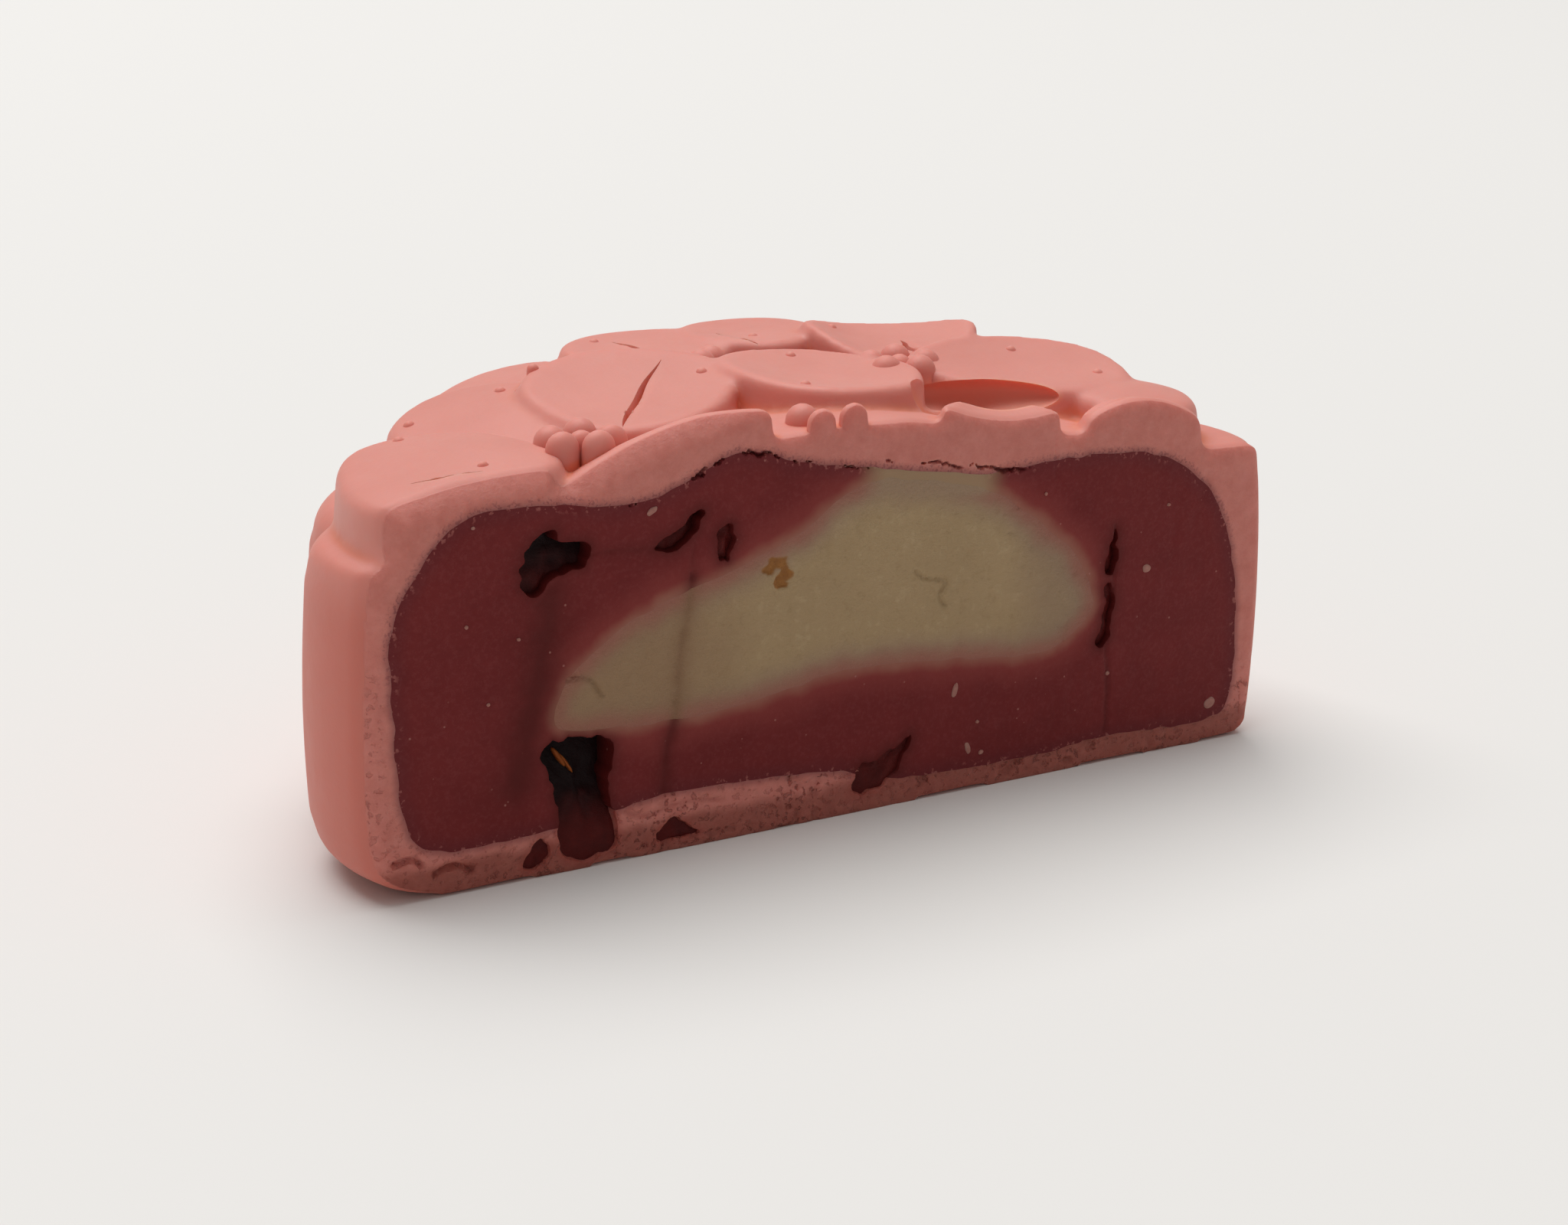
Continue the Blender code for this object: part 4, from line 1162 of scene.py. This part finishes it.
def pink_skin():
    """Satin mooncake skin: smooth outside, drier and crumbly where it is cut."""
    surface = Surface("skin dough", Specular_IOR_Level=0.36, Subsurface_Weight=0.4,
                      Subsurface_Radius=(1.0, 0.32, 0.2), Subsurface_Scale=0.0018)
    cut = surface.mark("cut")
    outside = surface.mix(surface.noise(8.0, 3.0), (0.655, 0.235, 0.19), (0.765, 0.305, 0.255))
    # painted shade: the skin's wall is coloured darker and redder than its top, where less light
    # falls
    wall = surface.between(surface.along("Z"), *WALL_PAINTED_SHADE)
    outside = surface.mix(wall, outside, (0.635, 0.185, 0.14))
    # painted glow and shade: recesses in the skin are coloured a deeper orange, standing in for
    # light bounced and scattered inside them
    recess_glow = surface.between(surface.mark("recess_glow"), 0.04, 0.6)
    outside = surface.mix(recess_glow * 0.85, outside, (0.745, 0.215, 0.125))
    # painted glow: the hollow scooped out under the right petal is coloured a lighter orange,
    # standing in for light glowing through the dough
    outside = surface.mix(surface.mark("scooped"), outside, (0.79, 0.31, 0.235))
    crumb = surface.mix(surface.noise(0.9, 4.0, 0.65), (0.53, 0.145, 0.112), (0.73, 0.275, 0.228))
    pits = surface.between(surface.noise(0.5, 3.0, 0.6), 0.55, 0.64) * surface.mark("rough")
    # painted shade: the pits in the cut skin are coloured darker
    crumb = surface.mix(pits * 0.6, crumb, (0.33, 0.065, 0.045))
    colour = surface.mix(cut, outside, crumb)
    near = surface.mark("from_border")
    bleed = surface.between(near + 0.3 * surface.noise(0.7, 2.0), -0.45, 0.2)
    colour = surface.mix(bleed * cut * 0.7, colour, (0.30, 0.07, 0.065))
    dust = surface.between(surface.noise(0.2, 1.0, 0.5), 0.53, 0.62)
    dust = dust * surface.between(near + 0.7 * surface.noise(2.5, 1.0), -0.35, 0.35)
    dust = dust * surface.between(surface.along("Z"), *DUST_SHADE)
    colour = surface.mix(dust * cut * 0.65, colour, (0.22, 0.045, 0.05))
    # the cut skin is coloured darker and browner towards its foot
    base = surface.between(surface.along("Z") + 1.0 * MM * surface.noise(2.0, 3.0), *FOOT_TONE)
    foot_colour = surface.mix(surface.noise(0.8, 4.0, 0.65), (0.22, 0.042, 0.028),
                         (0.44, 0.125, 0.09))
    colour = surface.mix(base * cut * 0.85, colour, foot_colour)
    stained = surface.between(surface.mark("stain"), 0.3, 1.0)
    colour = surface.mix(stained * cut * 0.6, colour, (0.33, 0.055, 0.04))
    # painted shade: the gaps between skin and paste along the top are coloured dark
    colour = surface.mix(surface.mark("crack") * 0.9, colour, (0.17, 0.032, 0.028))
    roughness = 0.45 + 0.12 * surface.noise(1.5, 2.0) + 0.10 * cut
    fine = surface.bump(surface.noise(0.32, 3.0), 0.05, 0.28)
    fine = surface.bump(1.0 - pits * cut, 0.3, 0.9, fine)
    fine = surface.bump(surface.noise(0.45, 4.0, 0.7) * cut, 0.14, 0.6, fine)
    fine = surface.bump(surface.noise(2.6, 3.0), 0.3, 0.22, fine)
    return surface.set(Base_Color=colour, Roughness=roughness, Normal=fine)


def strawberry_paste():
    """Dense maroon paste, rosier against the cheese, with a fine moist grain."""
    surface = Surface("paste", Specular_IOR_Level=0.16, Subsurface_Weight=0.15,
                      Subsurface_Radius=(1.0, 0.2, 0.15), Subsurface_Scale=0.001)
    body = surface.mix(surface.noise(4.5, 5.0, 0.65), (0.13, 0.010, 0.011),
                       (0.21, 0.022, 0.022))
    grain_colour = surface.between(surface.noise(0.28, 3.0, 0.7), 0.45, 0.68)
    body = surface.mix(grain_colour * 0.16, body, (0.29, 0.07, 0.068))
    near = surface.mark("from_core") + 1.2 * surface.noise(3.0, 3.0) - 0.6
    body = surface.mix(surface.between(near, 2.8, 0.2) * 0.8, body, (0.26, 0.042, 0.037))
    body = surface.mix(surface.between(near, 0.9, -0.15), body, BLENDED)
    edge = surface.between(surface.mark("from_border"), 1.4, 0.0)
    body = surface.mix(edge * 0.45, body, (0.115, 0.015, 0.02))
    dust = surface.between(surface.noise(0.4, 2.0, 0.6), 0.57, 0.66)
    body = surface.mix(dust * surface.between(surface.mark("from_border"), 0.7, 0.0) * 0.5, body,
                       (0.50, 0.17, 0.145))
    body = surface.mix(surface.between(surface.mark("stain"), 0.1, 1.0) * 0.9, body,
                       (0.095, 0.008, 0.007))
    # painted shade: the slopes into the hollows round the fruit are coloured near black
    body = surface.mix(surface.between(surface.mark("hollow"), 0.2, 1.0), body,
                       (0.035, 0.005, 0.005))
    spread = surface.between(near, 2.6, 1.4) * surface.mark("smeared")
    body = surface.mix(spread * 0.95, body, (0.37, 0.24, 0.14))
    # painted shade: the gaps between skin and paste along the top are coloured dark
    body = surface.mix(surface.mark("crack"), body, (0.075, 0.008, 0.008))
    specks = surface.between(surface.grains(1.1), 0.085, 0.05)
    body = surface.mix(specks * surface.between(surface.noise(1.7, 0.0), 0.52, 0.6) * 0.5,
                       body, (0.46, 0.20, 0.17))
    seed = surface.mix(surface.noise(0.5, 2.0), (0.30, 0.11, 0.09), (0.52, 0.27, 0.22))
    body = surface.mix(surface.mark("speck") * 0.9, body, seed)
    roughness = 0.48 + 0.16 * surface.noise(0.9, 3.0)
    grain = surface.bump(surface.noise(0.2, 3.0, 0.65), 0.05, 0.5)
    grain = surface.bump(surface.noise(1.2, 3.0), 0.16, 0.25, grain)
    return surface.set(Base_Color=body, Roughness=roughness, Normal=grain)


def cheese():
    """Firm pale cheese with a fine curd, blurred into the paste at its edge."""
    surface = Surface("cheese curd", Specular_IOR_Level=0.3, Subsurface_Weight=0.15,
                      Subsurface_Radius=(1.0, 0.6, 0.35), Subsurface_Scale=0.001)
    body = surface.mix(surface.noise(6.0, 4.0, 0.6), (0.37, 0.25, 0.128),
                       (0.45, 0.312, 0.168))
    curd = surface.noise(0.9, 4.0, 0.7)
    body = surface.mix(surface.between(curd, 0.54, 0.72) * 0.3, body, (0.56, 0.42, 0.25))
    body = surface.mix(surface.between(curd, 0.45, 0.33) * 0.3, body, (0.30, 0.19, 0.085))
    near = surface.mark("from_core") + 1.0 * surface.noise(2.2, 3.0) - 0.5
    body = surface.mix(surface.between(near, -2.6, -0.5), body, (0.345, 0.225, 0.14))
    tail = surface.between(surface.along("X") + 4.0 * MM * surface.noise(4.0, 2.0), *TAIL_SHADE)
    body = surface.mix(tail * 0.75, body, (0.30, 0.175, 0.095))
    head = surface.between(surface.along("X") + 3.0 * MM * surface.noise(4.0, 2.0), *HEAD_SHADE)
    body = surface.mix(head * 0.6, body, (0.30, 0.195, 0.125))
    blur = surface.between(near, -1.6, 0.15) * (1.0 - surface.mark("smeared"))
    body = surface.mix(blur, body, BLENDED)
    brown = surface.mix(surface.noise(0.5, 2.0, 0.6), (0.19, 0.062, 0.010), (0.40, 0.17, 0.035))
    body = surface.mix(surface.between(surface.mark("browned"), 0.1, 0.9), body, brown)
    body = surface.mix(surface.between(surface.mark("stain"), 0.15, 0.9) * 0.8, body,
                       (0.23, 0.12, 0.06))
    roughness = 0.5 + 0.12 * surface.noise(1.0, 2.0)
    grain = surface.bump(surface.noise(0.28, 4.0, 0.65), 0.09, 0.6)
    grain = surface.bump(curd, 0.35, 0.6, grain)
    return surface.set(Base_Color=body, Roughness=roughness, Normal=grain)


def dried_strawberry():
    """Dark wrinkled flesh of dried strawberry, moist on its surface."""
    surface = Surface("fruit flesh", Specular_IOR_Level=0.12, Coat_Weight=0.04,
                      Coat_Roughness=0.3, Subsurface_Weight=0.1, Subsurface_Scale=0.001,
                      Subsurface_Radius=(1.0, 0.15, 0.1))
    flesh = surface.mix(surface.noise(1.2, 3.0), (0.05, 0.0045, 0.0045), (0.13, 0.010, 0.008))
    # painted shade: the flesh is coloured darker the deeper it lies behind the cut
    flesh = surface.mix(surface.between(surface.mark("deep"), 0.4, 1.5), flesh,
                        (0.012, 0.0035, 0.004))
    flesh = surface.mix(surface.mark("sliver"), flesh, (0.30, 0.075, 0.014))
    roughness = 0.42 + 0.25 * surface.noise(0.8, 2.0)
    wrinkles = surface.bump(surface.noise(0.45, 4.0, 0.7), 0.2, 0.6)
    return surface.set(Base_Color=flesh, Roughness=roughness, Normal=wrinkles)


# The pieces

outer = outer_skin()
round_rim(outer)
outline = cut_loop(outer)
border = ragged(paste_loop(), 0.10, 0.9, 5)
core = ragged(spline(CHEESE_OUTLINE, CHEESE_POINTS, True), 0.12, 1.1, 6)
sheet, faces, ring = cut_sheet(outline, border, core)
# where the skin's painted glow and shade go: its recesses
recess_glow = hollowness(outer)
sink_rim(outer)

outer_low, outer_high = places_of(outer).min(axis=0), places_of(outer).max(axis=0)
skin_low, skin_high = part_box("skin")
shift = Vector(((skin_low[0] + skin_high[0]) / MM / 2 - (outer_low[0] + outer_high[0]) / 2,
                skin_low[1] / MM, 0.0))

mark(outer, "recess_glow", recess_glow)
mark(outer, "scooped", scooped_out(places_of(outer)))
add_sheet(outer, sheet, faces[ring == 1])
half_revolve(outer, border, paste_profiles(), 0.0)

paste_form = bmesh.new()
add_sheet(paste_form, sheet, faces[ring == 2])
half_revolve(paste_form, border, paste_profiles(), PIECE_GAP)
core_back(paste_form, core, 0.0)

cheese_form = bmesh.new()
add_sheet(cheese_form, sheet, faces[ring == 3])
core_back(cheese_form, core, PIECE_GAP)


def carve_cut(form):
    """Weld a piece, carve its part of the cut and put its marks on it."""
    welded(form)
    places = places_of(form)
    on_cut = np.abs(places[:, 1]) < ON_CUT
    found = cut_marks(places[on_cut][:, (0, 2)], outline, border, core)
    places[on_cut, 1] = found.pop("relief")
    set_places(form, places)
    mark(form, "cut", on_cut)
    for name, values in found.items():
        spread = np.zeros(len(places))
        spread[on_cut] = values
        mark(form, name, spread)
    return places[on_cut]


def strew_specks(form, surface_places):
    """Set pale seeds and crumbs into the paste."""
    form.verts.layers.float.new("speck")
    layers = {name: form.verts.layers.float[name]
              for name in ("cut", "speck", "from_core", "from_border")}
    for number, (x, z, half_length, half_width, tilt) in enumerate(SPECKS):
        nearest = np.argmin(np.linalg.norm(surface_places[:, (0, 2)] - (x, z), axis=1))
        made = lump(form, (x, surface_places[nearest, 1], z),
                    (half_length, SPECK_THICKNESS, half_width), math.radians(tilt), 70 + number)
        for vert in made:
            vert[layers["cut"]] = vert[layers["speck"]] = 1.0
            vert[layers["from_core"]] = vert[layers["from_border"]] = DEEP_INSIDE


carve_cut(outer)
finished(outer, "dough", "skin", pink_skin())
strew_specks(paste_form, carve_cut(paste_form))
finished(paste_form, "paste", "strawberry_paste", strawberry_paste())
carve_cut(cheese_form)
finished(cheese_form, "core", "cheese", cheese())
flesh = dried_strawberry()
for number, (node, fruit) in enumerate(FRUIT.items()):
    form = fruit_form(number, fruit)
    # how far behind the cut each point lies, for the flesh's painted shade
    mark(form, "deep", [vert.co.y for vert in form.verts])
    if node == "fruit_lower_left":
        sliver = form.verts.layers.float.new("sliver")
        for (x0, z0), (x1, z1), width, depth in SLIVERS:
            made = lump(form, ((x0 + x1) / 2, depth, (z0 + z1) / 2),
                        (math.hypot(x1 - x0, z1 - z0) / 2, SLIVER_THICKNESS, width / 2),
                        math.atan2(z1 - z0, x1 - x0), 90)
            for vert in made:
                vert[sliver] = 1.0
    finished(form, node + "_flesh", node, flesh)


# Floor, light and view

def studio():
    floor_mesh = bpy.data.meshes.new("floor")
    floor_mesh.from_pydata([(x * FLOOR_REACH, y * FLOOR_REACH, 0.0)
                            for x, y in ((-1, -1), (1, -1), (1, 1), (-1, 1))], [], [(0, 1, 2, 3)])
    floor = in_scene("floor", floor_mesh)
    paper = Surface("floor_paper", Base_Color=(0.82, 0.81, 0.79, 1.0), Roughness=0.8,
                    Specular_IOR_Level=0.2)
    floor_mesh.materials.append(paper.material)

    world = bpy.data.worlds.new("studio")
    bpy.context.scene.world = world
    world.use_nodes = True
    room = world.node_tree.nodes["Background"]
    room.inputs["Color"].default_value = (1.0, 0.97, 0.94, 1.0)
    room.inputs["Strength"].default_value = ROOM_LIGHT
    lamp = bpy.data.lights.new("softbox", "AREA")
    lamp.size = SOFTBOX_SIZE
    lamp.energy = SOFTBOX_POWER
    holder = in_scene("softbox", lamp)
    holder.location = SOFTBOX_PLACE
    holder.rotation_euler = (-Vector(SOFTBOX_PLACE)).to_track_quat("-Z", "Y").to_euler()


def camera():
    azimuth, down, roll = map(math.radians, (VIEW_AZIMUTH, VIEW_DOWN, VIEW_ROLL))
    ahead = Vector((math.sin(azimuth) * math.cos(down), math.cos(azimuth) * math.cos(down),
                    -math.sin(down)))
    level_right = Vector((math.cos(azimuth), -math.sin(azimuth), 0.0))
    level_up = level_right.cross(ahead)
    right = math.cos(roll) * level_right + math.sin(roll) * level_up
    up = math.cos(roll) * level_up - math.sin(roll) * level_right
    place = (Vector(VIEW_TARGET) - VIEW_DISTANCE * ahead + shift) * MM
    lens = bpy.data.cameras.new("camera")
    lens.lens = FOCAL_PIXELS / IMAGE_WIDTH * SENSOR_WIDTH
    lens.sensor_width = SENSOR_WIDTH
    lens.clip_start = 0.01
    view = in_scene("camera", lens)
    view.matrix_world = Matrix(((right.x, up.x, -ahead.x, place.x),
                                (right.y, up.y, -ahead.y, place.y),
                                (right.z, up.z, -ahead.z, place.z), (0, 0, 0, 1)))
    bpy.context.scene.camera = view


studio()
camera()
bpy.context.scene.view_settings.view_transform = "Standard"
